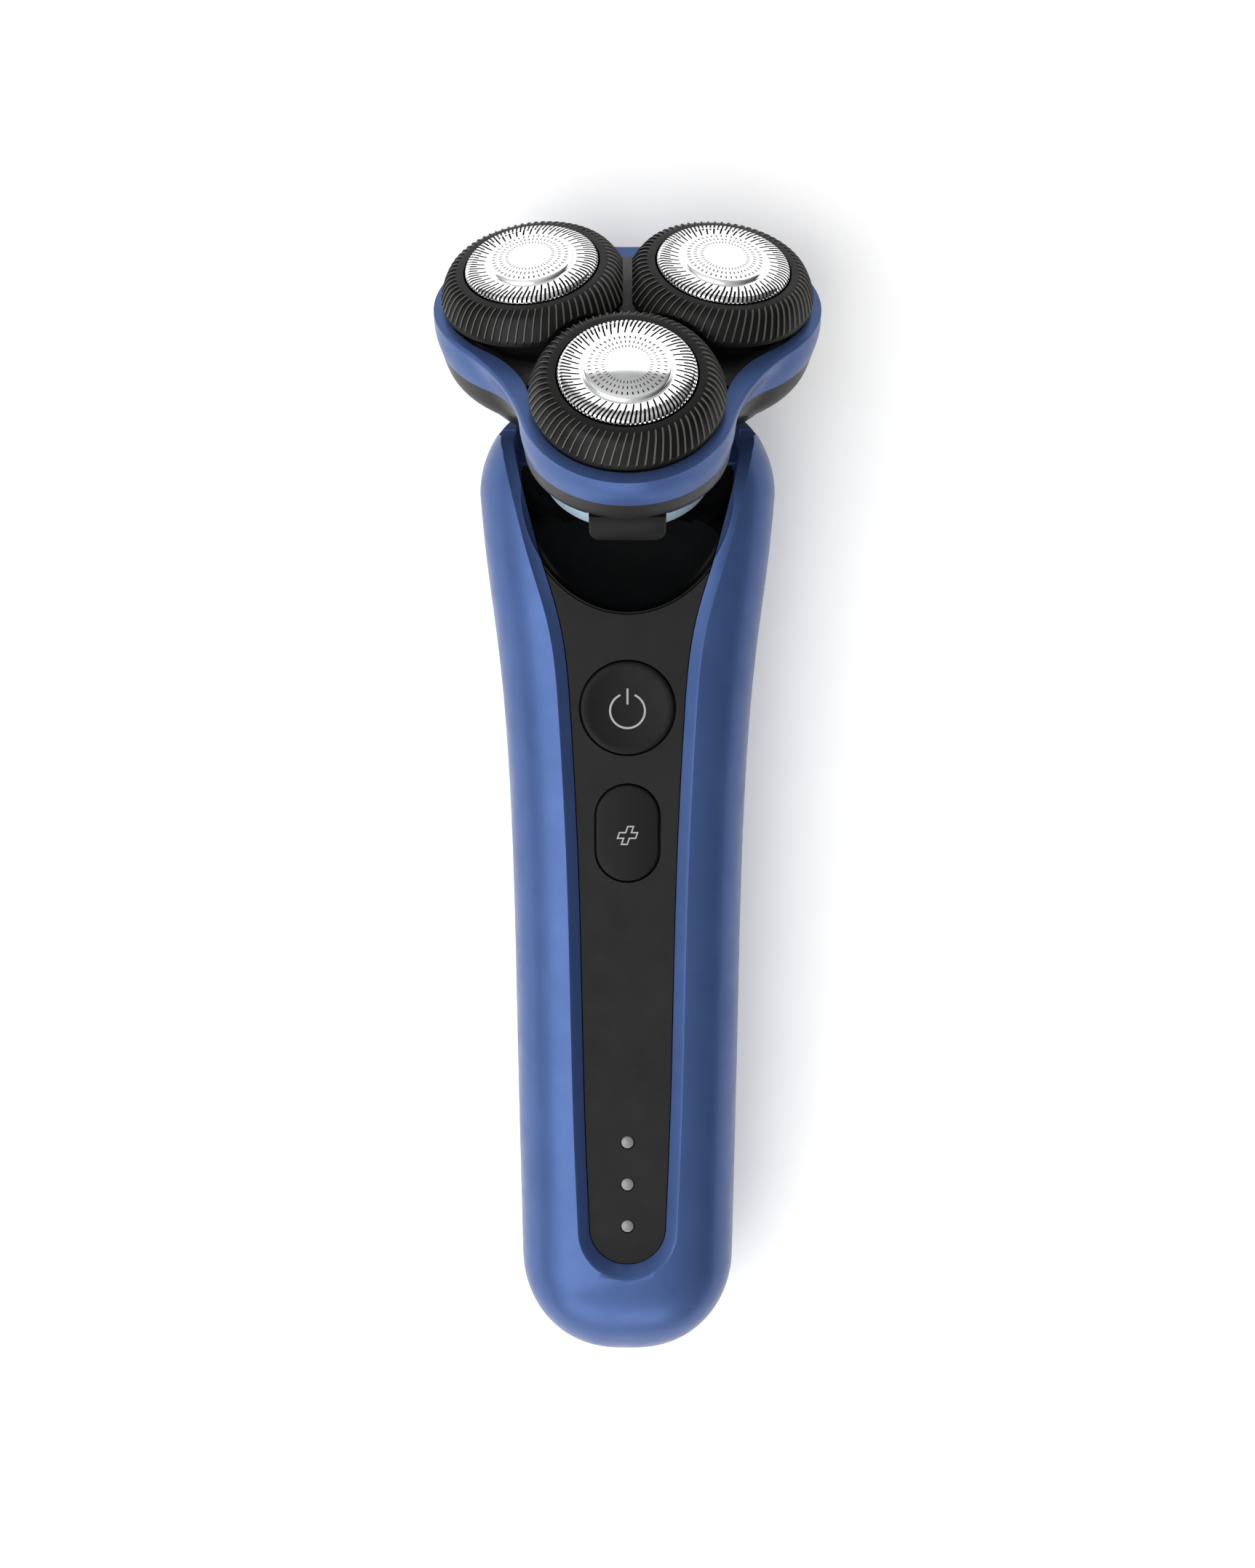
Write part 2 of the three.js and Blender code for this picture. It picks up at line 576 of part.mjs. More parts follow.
function housingScrew(x, y) {
  const points = [[0, 4.7], [1.7, 4.7], [1.7, 5.8], [1.0, 5.8], [1.0, 18.4], [0, 19]];
  return turned(points, 8).translate(x, y, 0);
}

// ---------------------------------------------------------------- cell, motor and neck

function cellShape() {
  const [low, high] = CELL_Y;
  return alongY(turned([
    [0, low], [CELL_RADIUS - 0.4, low], [CELL_RADIUS, low + 0.5], [CELL_RADIUS, high - 1.3],
    [CELL_RADIUS - 0.5, high - 0.9], [2.6, high - 0.9], [2.6, high], [0, high],
  ], 20), CELL_Z);
}

function cellTab(y) {
  return box([-4, y, CELL_Z - 4], [4, y + 0.4, CELL_Z + 8]);
}

function motorCan() {
  const [low, high] = MOTOR_Y;
  return alongY(turned([
    [MOTOR_RADIUS, low], [MOTOR_RADIUS, high - 0.6], [MOTOR_RADIUS - 0.6, high], [3, high], [3, high + 1.4],
    [1.3, high + 1.4], [1.3, high - 0.8], [MOTOR_RADIUS - 0.7, high - 0.8], [MOTOR_RADIUS - 0.7, low],
  ], 20), DRIVE_Z);
}

function motorEndCap() {
  const low = MOTOR_Y[0];
  return alongY(turned([
    [1.3, low - 1.5], [2.6, low - 1.5], [2.6, low - 0.6], [MOTOR_RADIUS, low - 0.6],
    [MOTOR_RADIUS, low - 0.3], [MOTOR_RADIUS - 1, low - 0.3], [MOTOR_RADIUS - 1, low + 1.2],
    [1.3, low + 1.2],
  ], 20), DRIVE_Z);
}

function motorArmature() {
  const [low, high] = MOTOR_Y;
  const pinionEnd = NECK_Y - BEVEL_REACH[0] - 0.4;
  return alongY(turned([
    [0, low - 1.2], [1, low - 1.2], [1, low + 2.2], [2.2, low + 2.2], [2.2, low + 5], [5.6, low + 5],
    [5.6, high - 4], [2, high - 4], [2, high - 2], [1, high - 2], [1, pinionEnd], [0, pinionEnd],
  ], 16), DRIVE_Z);
}

function bevelPinion() {
  const wheel = bevelWheel(-Math.PI / 2 + Math.PI / BEVEL_TEETH);
  const bore = bar(1.1, -BEVEL_REACH[1] - 1, -BEVEL_REACH[0] + 1, 0, 0, 12);
  const turnedWheel = cut(solid(wheel), solid(bore));
  return geometryOf(turnedWheel).rotateX(-Math.PI / 2).translate(0, NECK_Y, DRIVE_Z);
}

function neckShaft() {
  const wheel = bevelWheel(-Math.PI / 2);
  const shaft = turned([
    [0, -BEVEL_REACH[1] - 0.5], [1, -BEVEL_REACH[1] - 0.5], [1, -1.5], [1.35, -1.4], [1.9, -0.6],
    [1.9, 0.6], [1.35, 1.4], [0, 1.7],
  ], 10);
  return join(solid(wheel), solid(shaft));
}

function neckTube() {
  const tube = turned([
    [4, -6.6], [6.6, -6.6], [6.6, -4.9], [5.6, -4.9], [5.6, 1.6], [4, 1.6],
  ], 24);
  const pinHoles = new THREE.CylinderGeometry(PIN_HOLE_RADIUS, PIN_HOLE_RADIUS, 20, 8).rotateZ(Math.PI / 2);
  return cut(solid(tube), solid(pinHoles));
}

function gimbalRing() {
  const ring = turned([[6.1, -1.1], [8, -1.1], [8, 1.1], [6.1, 1.1]], 24);
  const alongX = new THREE.CylinderGeometry(0.87, 0.87, 20, 8).rotateZ(Math.PI / 2);
  const alongHead = new THREE.CylinderGeometry(0.87, 0.87, 20, 8);
  return cut(solid(ring), solid(alongX), solid(alongHead));
}

// A pin that points outward from the neck's centre at the given angle.
function gimbalPin(low, high, angle) {
  const radius = GIMBAL_PIN_RADIUS;
  const pin = new THREE.CylinderGeometry(radius, radius, high - low, 8).rotateZ(-Math.PI / 2);
  return pin.translate((low + high) / 2, 0, 0).rotateZ(angle);
}

// ---------------------------------------------------------------- head

const spindleSpread = CAP_SPREAD - SPINDLE_TIP_DEPTH * Math.sin(CAP_TILT);
const gearModule = 2 * spindleSpread / (CENTRAL_TEETH + SPINDLE_TEETH);

function atLobe(angle, spread = spindleSpread) {
  return [spread * Math.cos(angle), spread * Math.sin(angle)];
}

function hingeBarrel(low, high, radius) {
  const barrel = new THREE.CylinderGeometry(radius, radius, high - low, 12).rotateZ(Math.PI / 2);
  return barrel.translate((low + high) / 2, HINGE.y, HINGE.z);
}

function headBase() {
  const outside = solid(loft(BASE_RINGS.map((ring) => trefoilRing(ring))));
  const hollowRings = BASE_RINGS.slice(1).map((ring) => trefoilRing(ring, BASE_WALL));
  hollowRings[0].forEach((point) => { point.z = BASE_Z[0] + BASE_WALL; });
  hollowRings.at(-1).forEach((point) => { point.z += 1; });
  const [latchBack, latchFront] = [LATCH.y[1], LATCH.y[0]];
  const blockHalf = LATCH.halfWidth + BASE_WALL;
  const block = box([-blockHalf, latchFront, 5], [blockHalf, latchBack + 2.8, LATCH.z[1] + 1.7]);
  const latchBlock = common(outside, solid(block));
  const posts = LOBE_ANGLES.map((angle) => solid(bar(2.4, 5, 8.2, ...atLobe(angle), 10)));
  const shell = join(cut(outside, solid(loft(hollowRings))), latchBlock, ...posts);
  const sleeve = solid(bar(SLEEVE_RADII[1], -0.4, BASE_Z[0] + 0.8, 0, 0, 24));
  const ears = [-1, 1].map((side) => solid(box([-2, side * 8, -1.6], [2, side * SLEEVE_RADII[1], 1])));
  const hingeEars = [[-4.8, -3], [3, 4.8]].map(([low, high]) => join(
    solid(box([low, 18, HINGE.z - 2.4], [high, HINGE.y, HINGE.z - 0.1])),
    solid(hingeBarrel(low, high, HINGE.radius)),
  ));
  const frameEarRoom = solid(box([-2.8, 19.6, 8], [2.8, 30, 20]));
  const hub = solid(bar(1.8, 0, 10, 0, 0, 16));
  const sleeveRoom = solid(bar(SLEEVE_RADII[0], -3, 3.4, 0, 0, 24));
  const pinHoles = solid(new THREE.CylinderGeometry(PIN_HOLE_RADIUS, PIN_HOLE_RADIUS, 30, 8));
  const spindleHoles = LOBE_ANGLES.map((angle) => solid(bar(1.4, 6.4, 12, ...atLobe(angle), 8)));
  const roomHalf = LATCH.halfWidth + GAP;
  const latchRoom = solid(box([-roomHalf, latchFront - 5, 2], [roomHalf, latchBack + 1, LATCH.z[1] + GAP]));
  const hingeHole = solid(hingeBarrel(-8, 8, PIN_HOLE_RADIUS));
  const whole = join(shell, sleeve, ...ears, ...hingeEars);
  return cut(whole, hub, sleeveRoom, pinHoles, ...spindleHoles, latchRoom, hingeHole, frameEarRoom);
}

function neckTrim() {
  const plate = solid(prism(trefoil(...TRIM_OUTLINE), ...TRIM_Z));
  const lobe = solid(bar(TRIM_LOBE.radius, TRIM_Z[0], TRIM_LOBE.top, 0, -TRIM_LOBE.spread, 40));
  const baseRoom = BASE_RINGS.map((ring) => trefoilRing(ring, -GAP));
  baseRoom.forEach((ring) => ring.forEach((point) => { point.z -= GAP; }));
  const sleeveHole = bar(SLEEVE_RADII[1] + 0.4, 0, TRIM_LOBE.top + 1, 0, 0, 28);
  return cut(join(plate, lobe), solid(loft(baseRoom)), solid(sleeveHole));
}

function gearCover() {
  const plate = solid(prism(trefoil(14.1, 12.4, 15.4), 11.6, 12.8));
  const latchRoom = solid(box([-7.6, -40, 11], [7.6, -23.1, 14]));
  const holes = LOBE_ANGLES.map((angle) => solid(bar(1.85, 11, 14, ...atLobe(angle), 10)));
  return cut(plate, latchRoom, solid(bar(1.5, 11, 14, 0, 0, 12)), ...holes);
}

function driveHub() {
  const gear = prism(toothOutline(CENTRAL_TEETH, gearModule * CENTRAL_TEETH / 2, -Math.PI / 2), ...GEAR_Z);
  const shaft = turned([
    [0, 2.4], [2.3, 2.4], [2.3, -1.4], [3.2, -1.4], [3.2, 2.9], [1.5, 3.2], [1.5, 10.8], [1.2, 10.8],
    [1.2, 12.6], [0, 12.6],
  ], 16);
  return join(solid(gear), solid(shaft));
}

function spindle(angle) {
  const turn = angle + Math.PI + Math.PI / SPINDLE_TEETH + meshTurn(angle);
  const gear = prism(toothOutline(SPINDLE_TEETH, gearModule * SPINDLE_TEETH / 2, turn), ...GEAR_Z);
  const tipZ = CAP_HEIGHT - SPINDLE_TIP_DEPTH * Math.cos(CAP_TILT);
  const shaft = turned([
    [0, 6.6], [1.2, 6.6], [1.2, 8.3], [1.6, 8.3], [1.6, tipZ - 4], [1.05, tipZ - 3], [1.05, tipZ - 1.2],
    [1.6, tipZ - 0.5], [1.6, tipZ + 0.5], [0.9, tipZ + 1.3], [0, tipZ + 1.3],
  ], 8);
  return geometryOf(join(solid(gear), solid(shaft))).translate(...atLobe(angle), 0);
}

// How far a spindle gear turns so that its gap faces a tooth of the central gear.
function meshTurn(angle) {
  const step = 2 * Math.PI / CENTRAL_TEETH;
  const fromTooth = (angle + Math.PI / 2) % step;
  return fromTooth * CENTRAL_TEETH / SPINDLE_TEETH;
}

function releaseLatch() {
  const { halfWidth: half, corner } = LATCH;
  const [low, high] = LATCH.z;
  const [front, back] = LATCH.y;
  const shape = new THREE.Shape();
  shape.moveTo(-half, high);
  shape.lineTo(-half, low + corner);
  shape.absarc(-half + corner, low + corner, corner, Math.PI, 1.5 * Math.PI);
  shape.absarc(half - corner, low + corner, corner, 1.5 * Math.PI, 2 * Math.PI);
  shape.lineTo(half, high);
  const size = { depth: back - front, bevelEnabled: false, curveSegments: 4 };
  const plate = new THREE.ExtrudeGeometry(shape, size);
  return plate.rotateX(Math.PI / 2).translate(0, back, 0);
}

function hingePin() {
  return hingeBarrel(-4.7, 4.7, HINGE_PIN_RADIUS);
}

// Moves a shape built about Z, with its top at z = 0, to the place of one cap.
function capPlace(mesh, angle) {
  const place = new THREE.Group();
  place.rotation.z = angle;
  const seat = new THREE.Group();
  seat.position.set(CAP_SPREAD, 0, CAP_HEIGHT);
  seat.rotation.y = CAP_TILT;
  seat.add(mesh);
  place.add(seat);
  return place;
}

function atCap(geometry, angle) {
  return geometry.rotateY(CAP_TILT).translate(CAP_SPREAD, 0, CAP_HEIGHT).rotateZ(angle);
}

function headFrame() {
  const outside = solid(loft(FRAME_RINGS.map((ring) => trefoilRing(ring))));
  const inside = solid(prism(trefoil(...FRAME_INSIDE), FRAME_Z - 1, 25));
  const seats = LOBE_ANGLES.map((angle) => solid(atCap(bar(SEAT_RADIUS, SEAT_FLOOR, 20, 0, 0, 36), angle)));
  const ear = join(
    solid(box([-2.5, 18.2, HINGE.z + 0.8], [2.5, HINGE.y, HINGE.z + 2.2])),
    solid(hingeBarrel(-2.5, 2.5, HINGE.radius)),
  );
  const pinHole = solid(hingeBarrel(-8, 8, PIN_HOLE_RADIUS));
  return cut(join(cut(outside, inside, ...seats), cut(ear, inside)), pinHole);
}

function cutterHolder() {
  const [spread, radius, waist] = FRAME_INSIDE;
  const deck = solid(prism(trefoil(spread, radius - GAP, waist - GAP), ...HOLDER_DECK_Z));
  const spines = LOBE_ANGLES.map((angle, lobe) => {
    const top = lobe === REAR_SPINE ? SPINE.rearTop : SPINE.frontTop;
    const rib = box([0, -SPINE.halfWidth, HOLDER_DECK_Z[0]], [waist - GAP, SPINE.halfWidth, top]);
    return solid(rib.rotateZ(angle + Math.PI / 3));
  });
  const rooms = LOBE_ANGLES.map((angle) => solid(atCap(bar(HOLDER_ROOM_RADIUS, -16, 20, 0, 0, 24), angle)));
  return cut(join(deck, ...spines), ...rooms);
}

function retainingPlate() {
  const [spread, radius, waist] = FRAME_INSIDE;
  const plate = solid(prism(trefoil(spread, radius - GAP, waist - GAP), 15.3, 16.2));
  const holes = LOBE_ANGLES.map((angle) => solid(bar(8.6, 14, 18, ...atLobe(angle), 24)));
  return cut(plate, ...holes);
}

function retainingKnob() {
  return turned([[0, 14.2], [3.2, 14.2], [3.5, 14.5], [3.5, 15.0], [0, 15.0]], 20);
}

function capCarrier(angle) {
  const ring = turned([
    [CARRIER_BORE, -8.6], [11.5, -8.6], [11.5, -5.5], [CARRIER_RADIUS, -5.5], [CARRIER_RADIUS, -4.9],
    [13.0, -2.4], [11.3, -0.95], [CARRIER_BORE, -0.95],
  ], 24);
  const inward = atCap(ring, angle);
  const walls = [-1, 1].map((side) => {
    const wall = box([-5, -CARRIER_SIDE_GAP * side, 5], [30, 20 * side, 40]);
    return solid(wall.rotateZ(angle + side * Math.PI / 3));
  });
  return cut(solid(inward), ...walls);
}

// A cap whose middle stands up as a low dome inside the slotted ring.
function shavingCap() {
  const inner = CAP_RADIUS - 0.7;
  return turned([
    [0, 0.9], [3.4, 0.78], [6.2, 0.46], [6.45, 0], [inner, -0.09], [CAP_RADIUS, -0.7], [CAP_RADIUS, -4.2],
    [inner, -4.2], [inner, -1.0], [0, -1.0],
  ], 24);
}

function cutter() {
  const hub = turned([
    [0, -2.6], [2.2, -2.6], [3.2, -3.0], [CUTTER_RADIUS, -3.0], [CUTTER_RADIUS, -3.8], [3.2, -3.8],
    [3.2, -6.8], [2.3, -6.8], [2.3, -3.2], [0, -3.2],
  ], 12);
  const blades = Array.from({ length: CUTTER_BLADES }, (_, i) => {
    const blade = box([CUTTER_RADIUS - 1.6, -0.3, -3.4], [CUTTER_RADIUS - 0.1, 0.3, -1.2]);
    return solid(blade.rotateZ(2 * Math.PI * i / CUTTER_BLADES));
  });
  return join(solid(hub), ...blades);
}

// ---------------------------------------------------------------- assembly

const shaver = new THREE.Group();
const head = new THREE.Group();
head.position.set(0, NECK_Y, DRIVE_Z);
head.rotation.x = HEAD_TILT;
shaver.add(head);

function piece(name, shape, material) {
  const geometry = shape.isBufferGeometry ? shape : geometryOf(shape);
  const mesh = new THREE.Mesh(geometry, material);
  mesh.name = name;
  return mesh;
}

shaver.add(
  piece('front_housing', frontHousing(), BLUE),
  piece('rear_housing', rearHousing(), BLUE),
  piece('rear_grip', rearGrip(), RUBBER),
  piece('control_panel', controlPanel(), BLACK),
  piece('neck_bowl', neckBowl(), GLOSS_BLACK),
  piece('inner_chassis', chassis(), DARK_GREY),
  piece('battery_cell', cellShape(), CELL_WRAP),
  piece('battery_tab_front', cellTab(CELL_Y[1] + GAP), STEEL),
  piece('battery_tab_rear', cellTab(CELL_Y[0] - GAP - 0.4), STEEL),
  piece('circuit_board', board(), BOARD_GREEN),
  piece('power_switch', tactSwitch(POWER_Y), DARK_GREY),
  piece('mode_switch', tactSwitch(MODE_Y), DARK_GREY),
  piece('power_button', powerButton(), BLACK),
  piece('mode_button', modeButton(), BLACK),
  piece('charge_socket', chargeSocket(), BLACK),
  piece('charge_pin_left', chargePin(PIN_XS[0]), BRASS),
  piece('charge_pin_right', chargePin(PIN_XS[1]), BRASS),
  piece('motor_can', motorCan(), STEEL),
  piece('motor_end_cap', motorEndCap(), WHITE_PLASTIC),
  piece('motor_armature', motorArmature(), STEEL),
  piece('bevel_pinion', bevelPinion(), BRASS),
);

LAMP_YS.forEach((y, i) => {
  const lens = bar(LAMP_RADIUS, BOARD_Z[1] + GAP, PANEL_TOP_Z + 0.05, 0, y, 12);
  shaver.add(piece(`charge_lamp_${i + 1}`, lens, LAMP));
});

SCREW_SPOTS.forEach(([x, y], i) => {
  shaver.add(piece(`housing_screw_${i + 1}`, housingScrew(x, y), STEEL));
});

head.add(
  piece('neck_tube', neckTube(), DARK_GREY),
  piece('neck_bush', turned([[1.15, -6.4], [3.7, -6.4], [3.7, -4.2], [1.15, -4.2]], 20), BRASS),
  piece('neck_shaft', neckShaft(), STEEL),
  piece('gimbal_ring', gimbalRing(), STEEL),
  piece('gimbal_pin_right', gimbalPin(4.4, 7.8, 0), STEEL),
  piece('gimbal_pin_left', gimbalPin(4.4, 7.8, Math.PI), STEEL),
  piece('gimbal_pin_rear', gimbalPin(6.4, 9.7, Math.PI / 2), STEEL),
  piece('gimbal_pin_front', gimbalPin(6.4, 9.7, -Math.PI / 2), STEEL),
  piece('head_base', headBase(), BLACK),
  piece('neck_trim', neckTrim(), CYAN),
  piece('gear_cover', gearCover(), DARK_GREY),
  piece('drive_hub', driveHub(), WHITE_PLASTIC),
  piece('release_latch', releaseLatch(), BLACK),
  piece('hinge_pin', hingePin(), STEEL),
  piece('head_frame', headFrame(), BLUE),
  piece('cutter_holder', cutterHolder(), DARK_GREY),
  piece('retaining_plate', retainingPlate(), DARK_GREY),
  piece('retaining_knob', retainingKnob(), DARK_GREY),
);

LOBE_ANGLES.forEach((angle, i) => {
  const side = ['front', 'right', 'left'][i];
  head.add(
    piece(`spindle_${side}`, spindle(angle), WHITE_PLASTIC),
    piece(`cap_carrier_${side}`, capCarrier(angle), BLACK),
    capPlace(piece(`shaving_cap_${side}`, shavingCap(), CHROME), angle),
    capPlace(piece(`cutter_${side}`, cutter(), STEEL), angle),
  );
});

export default shaver;
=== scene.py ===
import json
import math

import bmesh
import bpy
import numpy as np
from mathutils import Matrix, Vector

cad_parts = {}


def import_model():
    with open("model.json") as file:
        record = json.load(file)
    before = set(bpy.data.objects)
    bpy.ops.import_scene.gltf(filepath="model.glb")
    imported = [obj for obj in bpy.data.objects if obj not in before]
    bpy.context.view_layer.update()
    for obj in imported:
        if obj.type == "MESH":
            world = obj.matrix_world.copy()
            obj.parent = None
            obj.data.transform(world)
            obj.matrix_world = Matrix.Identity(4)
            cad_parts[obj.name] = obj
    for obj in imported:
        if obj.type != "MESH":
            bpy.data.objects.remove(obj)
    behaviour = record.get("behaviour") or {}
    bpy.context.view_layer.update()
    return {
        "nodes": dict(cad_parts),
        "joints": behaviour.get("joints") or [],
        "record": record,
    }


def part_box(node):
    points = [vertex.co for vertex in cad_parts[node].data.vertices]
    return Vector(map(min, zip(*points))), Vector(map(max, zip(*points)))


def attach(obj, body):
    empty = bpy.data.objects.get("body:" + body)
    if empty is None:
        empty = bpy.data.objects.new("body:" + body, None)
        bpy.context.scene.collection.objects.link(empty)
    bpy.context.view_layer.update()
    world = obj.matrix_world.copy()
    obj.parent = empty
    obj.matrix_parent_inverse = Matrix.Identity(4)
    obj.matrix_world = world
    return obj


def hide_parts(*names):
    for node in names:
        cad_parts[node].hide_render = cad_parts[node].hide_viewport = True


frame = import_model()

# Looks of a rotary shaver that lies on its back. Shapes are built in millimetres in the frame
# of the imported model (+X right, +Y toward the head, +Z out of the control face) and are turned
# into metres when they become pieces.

MM = 0.001
SCENE = bpy.context.scene
CAD = frame["nodes"]
JOINTS = {joint["name"]: joint for joint in frame["joints"]}

# ---------------------------------------------------------------- driving dimensions, in mm

BODY_MID_Z = 15.0
BODY_HALF_DEPTH = 15.6
BODY_SQUARENESS = 2.8
BODY_END_Y = -79.5
BODY_END_LENGTH = 17.0
BODY_TOP_Y = 43.3
BODY_TOP_LENGTH = 18.8
BODY_WIDTH_STATIONS = [-79.5, -42, -6, 20, 36, 43.3]
BODY_HALF_WIDTHS = [17.15, 17.75, 18.45, 20.25, 22.15, 22.75]
WALL = 2.4
CAVITY_TOP_LENGTH = 6.0
SEAM_Z = 13.0
SEAM_HALF_GAP = 0.12
GRIP_DEPTH = 1.2
REAR_FACE_Z = 0.35

PANEL_END_Y = -71.7
PANEL_TOP_Z = 28.3
PANEL_THICKNESS = 1.6
OPENING_STATIONS = [-71.7, -54, -14, 11, 25, 34.6, 45, 56, 64]
OPENING_HALF_WIDTHS = [6.1, 6.75, 7.6, 8.75, 10.4, 13.2, 15.9, 18.3, 19.6]
BEVEL_WIDTH = 1.6

POWER_HOLE_RADIUS = 7.4
MODE_HOLE_RADIUS = 5.1
MODE_HOLE_LENGTH = 15.6
SOCKET_HOLE_RADIUS = 4.5
SOCKET_HOLE_WIDTH = 13.0
SOCKET_Y = (-95.9, -84)
MOUTH_RADIUS = 2.6
MOUTH_WIDTH = 9
MOUTH_FLOOR_Y = -87.6
PIN_XS = (-2.1, 2.1)
SCREW_SPOTS = [(-8.6, -74), (8.6, -74), (-14.6, 31), (14.6, 31)]
GRIP_STATIONS = [-80, -58, -20, 8, 33]
GRIP_HALF_WIDTHS = [9.4, 11.2, 11.4, 13.6, 17.6]
GRIP_END_LENGTHS = (6.0, 6.4)
GRIP_SQUARENESS = 0.7

SCOOP_Y = 47.0
SCOOP_Z = 28.9
SCOOP_RADII = (16.8, 21.0, 7.5)
SCOOP_WALL = 1.5
DECK_TOP = -3.4
DECK_WALL = 1.2
NECK_CLEARANCE_RADIUS = 17.5
ROCKING_DROP = 4.0
ROCKING_ROOM = 3.05
TRIM_Z = (2.9, 4.2)
TRIM_LOBE_SPREAD = 10.0
TRIM_LOBE_RADIUS = 12.8
TRIM_LOBE_TOP = 6.6

BASE_BOTTOM = 4.5
BASE_WALL = 1.6
SLEEVE_RADII = (8.6, 9.9)
PIN_HOLE_RADIUS = 0.95
LATCH_HALF_WIDTH = 5.55
LATCH_Z = (6.3, 11.1)
LATCH_Y = (-28.8, -26.2)
LATCH_CORNER = 1.7
LATCH_ROOM = 0.3
HINGE_Y = 24.0
HINGE_Z = 14.3
HINGE_RADIUS = 1.6
CAP_RADIUS = 9.9
CARRIER_RADIUS = 14.1
CARRIER_BORE = 10.2
SEAT_RADIUS = 16.6
SEAT_FLOOR = -6.5
LOBE_ANGLES = {"front": -math.pi / 2, "right": math.pi / 6, "left": 5 * math.pi / 6}
BASE_RINGS = [
    (BASE_BOTTOM, 9.0, 9.6, 12.4),
    (5.6, 11.0, 10.8, 13.8),
    (8.2, 12.9, 12.5, 15.4),
    (10.8, 14.2, 14.6, 17.4),
    (13.2, 15.0, 15.1, 18.7),
    (14.95, 15.4, 15.2, 19.3),
]
FRAME_RINGS = [
    (15.0, 15.4, 15.25, 19.4),
    (17.5, 15.6, 15.6, 20.3),
    (20.2, 15.6, 15.6, 21.4),
    (21.0, 15.4, 15.2, 21.1),
]
FRAME_INSIDE = (15.4, 13.9, 18.4)
TRIM_OUTLINE = (8.4, 8.8, 11.6)

# ---------------------------------------------------------------- places taken from the frame

PIVOT = Vector(JOINTS["head_pitch"]["pos_m"]) / MM
HEAD_AXIS = Vector(JOINTS["hub_spin"]["axis"]).normalized()
HEAD_TILT = -HEAD_AXIS.angle(Vector((0, 0, 1)))
HEAD = Matrix.Translation(PIVOT) @ Matrix.Rotation(HEAD_TILT, 4, "X")


def cap_matrix(side):
    """Frame of one cap: origin at its top's middle, Z along its axis, X away from the head's axis."""
    spin = JOINTS[f"cutter_{side}_spin"]
    across = Vector(JOINTS[f"cap_{side}_tilt"]["axis"]).normalized()
    out = Vector(spin["axis"]).normalized()
    columns = [across.cross(out), across, out]
    turn = Matrix([[column[row] for column in columns] for row in range(3)]).to_4x4()
    return Matrix.Translation(Vector(spin["pos_m"]) / MM) @ turn


def node_middle(name):
    low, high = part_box(name)
    return (low + high) / 2 / MM


POWER_Y = node_middle("power_button").y
MODE_Y = node_middle("mode_button").y
LAMP_NODES = ["charge_lamp_1", "charge_lamp_2", "charge_lamp_3"]
LAMP_YS = [node_middle(name).y for name in LAMP_NODES]

# ---------------------------------------------------------------- shape helpers


def shape(vertices, faces):
    mesh = bpy.data.meshes.new("shape")
    mesh.from_pydata([tuple(v) for v in vertices], [], faces)
    made = bpy.data.objects.new("shape", mesh)
    SCENE.collection.objects.link(made)
    return outward(made)


def outward(made):
    work = bmesh.new()
    work.from_mesh(made.data)
    bmesh.ops.remove_doubles(work, verts=work.verts, dist=1e-5)
    bmesh.ops.recalc_face_normals(work, faces=work.faces)
    work.to_mesh(made.data)
    work.free()
    return made


def loft(rings):
    """A closed skin through rings of points; a ring of one point closes to a tip."""
    vertices = []
    starts = []
    for ring in rings:
        starts.append(len(vertices))
        vertices.extend(ring)
    faces = []
    for i in range(len(rings) - 1):
        count = max(len(rings[i]), len(rings[i + 1]))
        for j in range(count):
            after = (j + 1) % count
            low = [starts[i] + (k if len(rings[i]) > 1 else 0) for k in (j, after)]
            high = [starts[i + 1] + (k if len(rings[i + 1]) > 1 else 0) for k in (after, j)]
            face = list(dict.fromkeys(low + high))
            faces.append(face)
    for ring, start in ((rings[0], starts[0]), (rings[-1], starts[-1])):
        if len(ring) > 1:
            faces.append([start + k for k in range(len(ring))])
    return shape(vertices, faces)


def prism(outline, low, high):
    return loft([[(x, y, z) for x, y in outline] for z in (low, high)])


def turned(profile, sides=96):
    """A closed outline of (radius, height) points turned about Z."""
    closed = profile if profile[0][0] == 0 else profile + [profile[0]]
    rings = []
    for radius, height in closed:
        if radius == 0:
            rings.append([(0, 0, height)])
            continue
        turns = [2 * math.pi * k / sides for k in range(sides)]
        rings.append([(radius * math.cos(t), radius * math.sin(t), height) for t in turns])
    if profile[0][0] == 0:
        return loft(rings)
    vertices = [point for ring in rings[:-1] for point in ring]
    count = len(profile)
    faces = []
    for i in range(count):
        for j in range(sides):
            corners = [(i, j), (i, j + 1), (i + 1, j + 1), (i + 1, j)]
            faces.append([(a % count) * sides + b % sides for a, b in corners])
    return shape(vertices, faces)


def bar(radius, low, high, x=0.0, y=0.0, sides=48):
    return moved(turned([(0, low), (radius, low), (radius, high), (0, high)], sides), (x, y, 0))


def crossbar(radius, low, high, y=0.0, z=0.0):
    """A round bar along X."""
    made = turned([(0, low), (radius, low), (radius, high), (0, high)], 32)
    return placed(made, Matrix.Translation((0, y, z)) @ Matrix.Rotation(math.pi / 2, 4, "Y"))


def box(corner, opposite):
    xs, ys, zs = zip(corner, opposite)
    return prism([(xs[0], ys[0]), (xs[1], ys[0]), (xs[1], ys[1]), (xs[0], ys[1])], *zs)


def placed(made, matrix):
    made.data.transform(matrix)
    return made


def moved(made, offset):
    return placed(made, Matrix.Translation(offset))


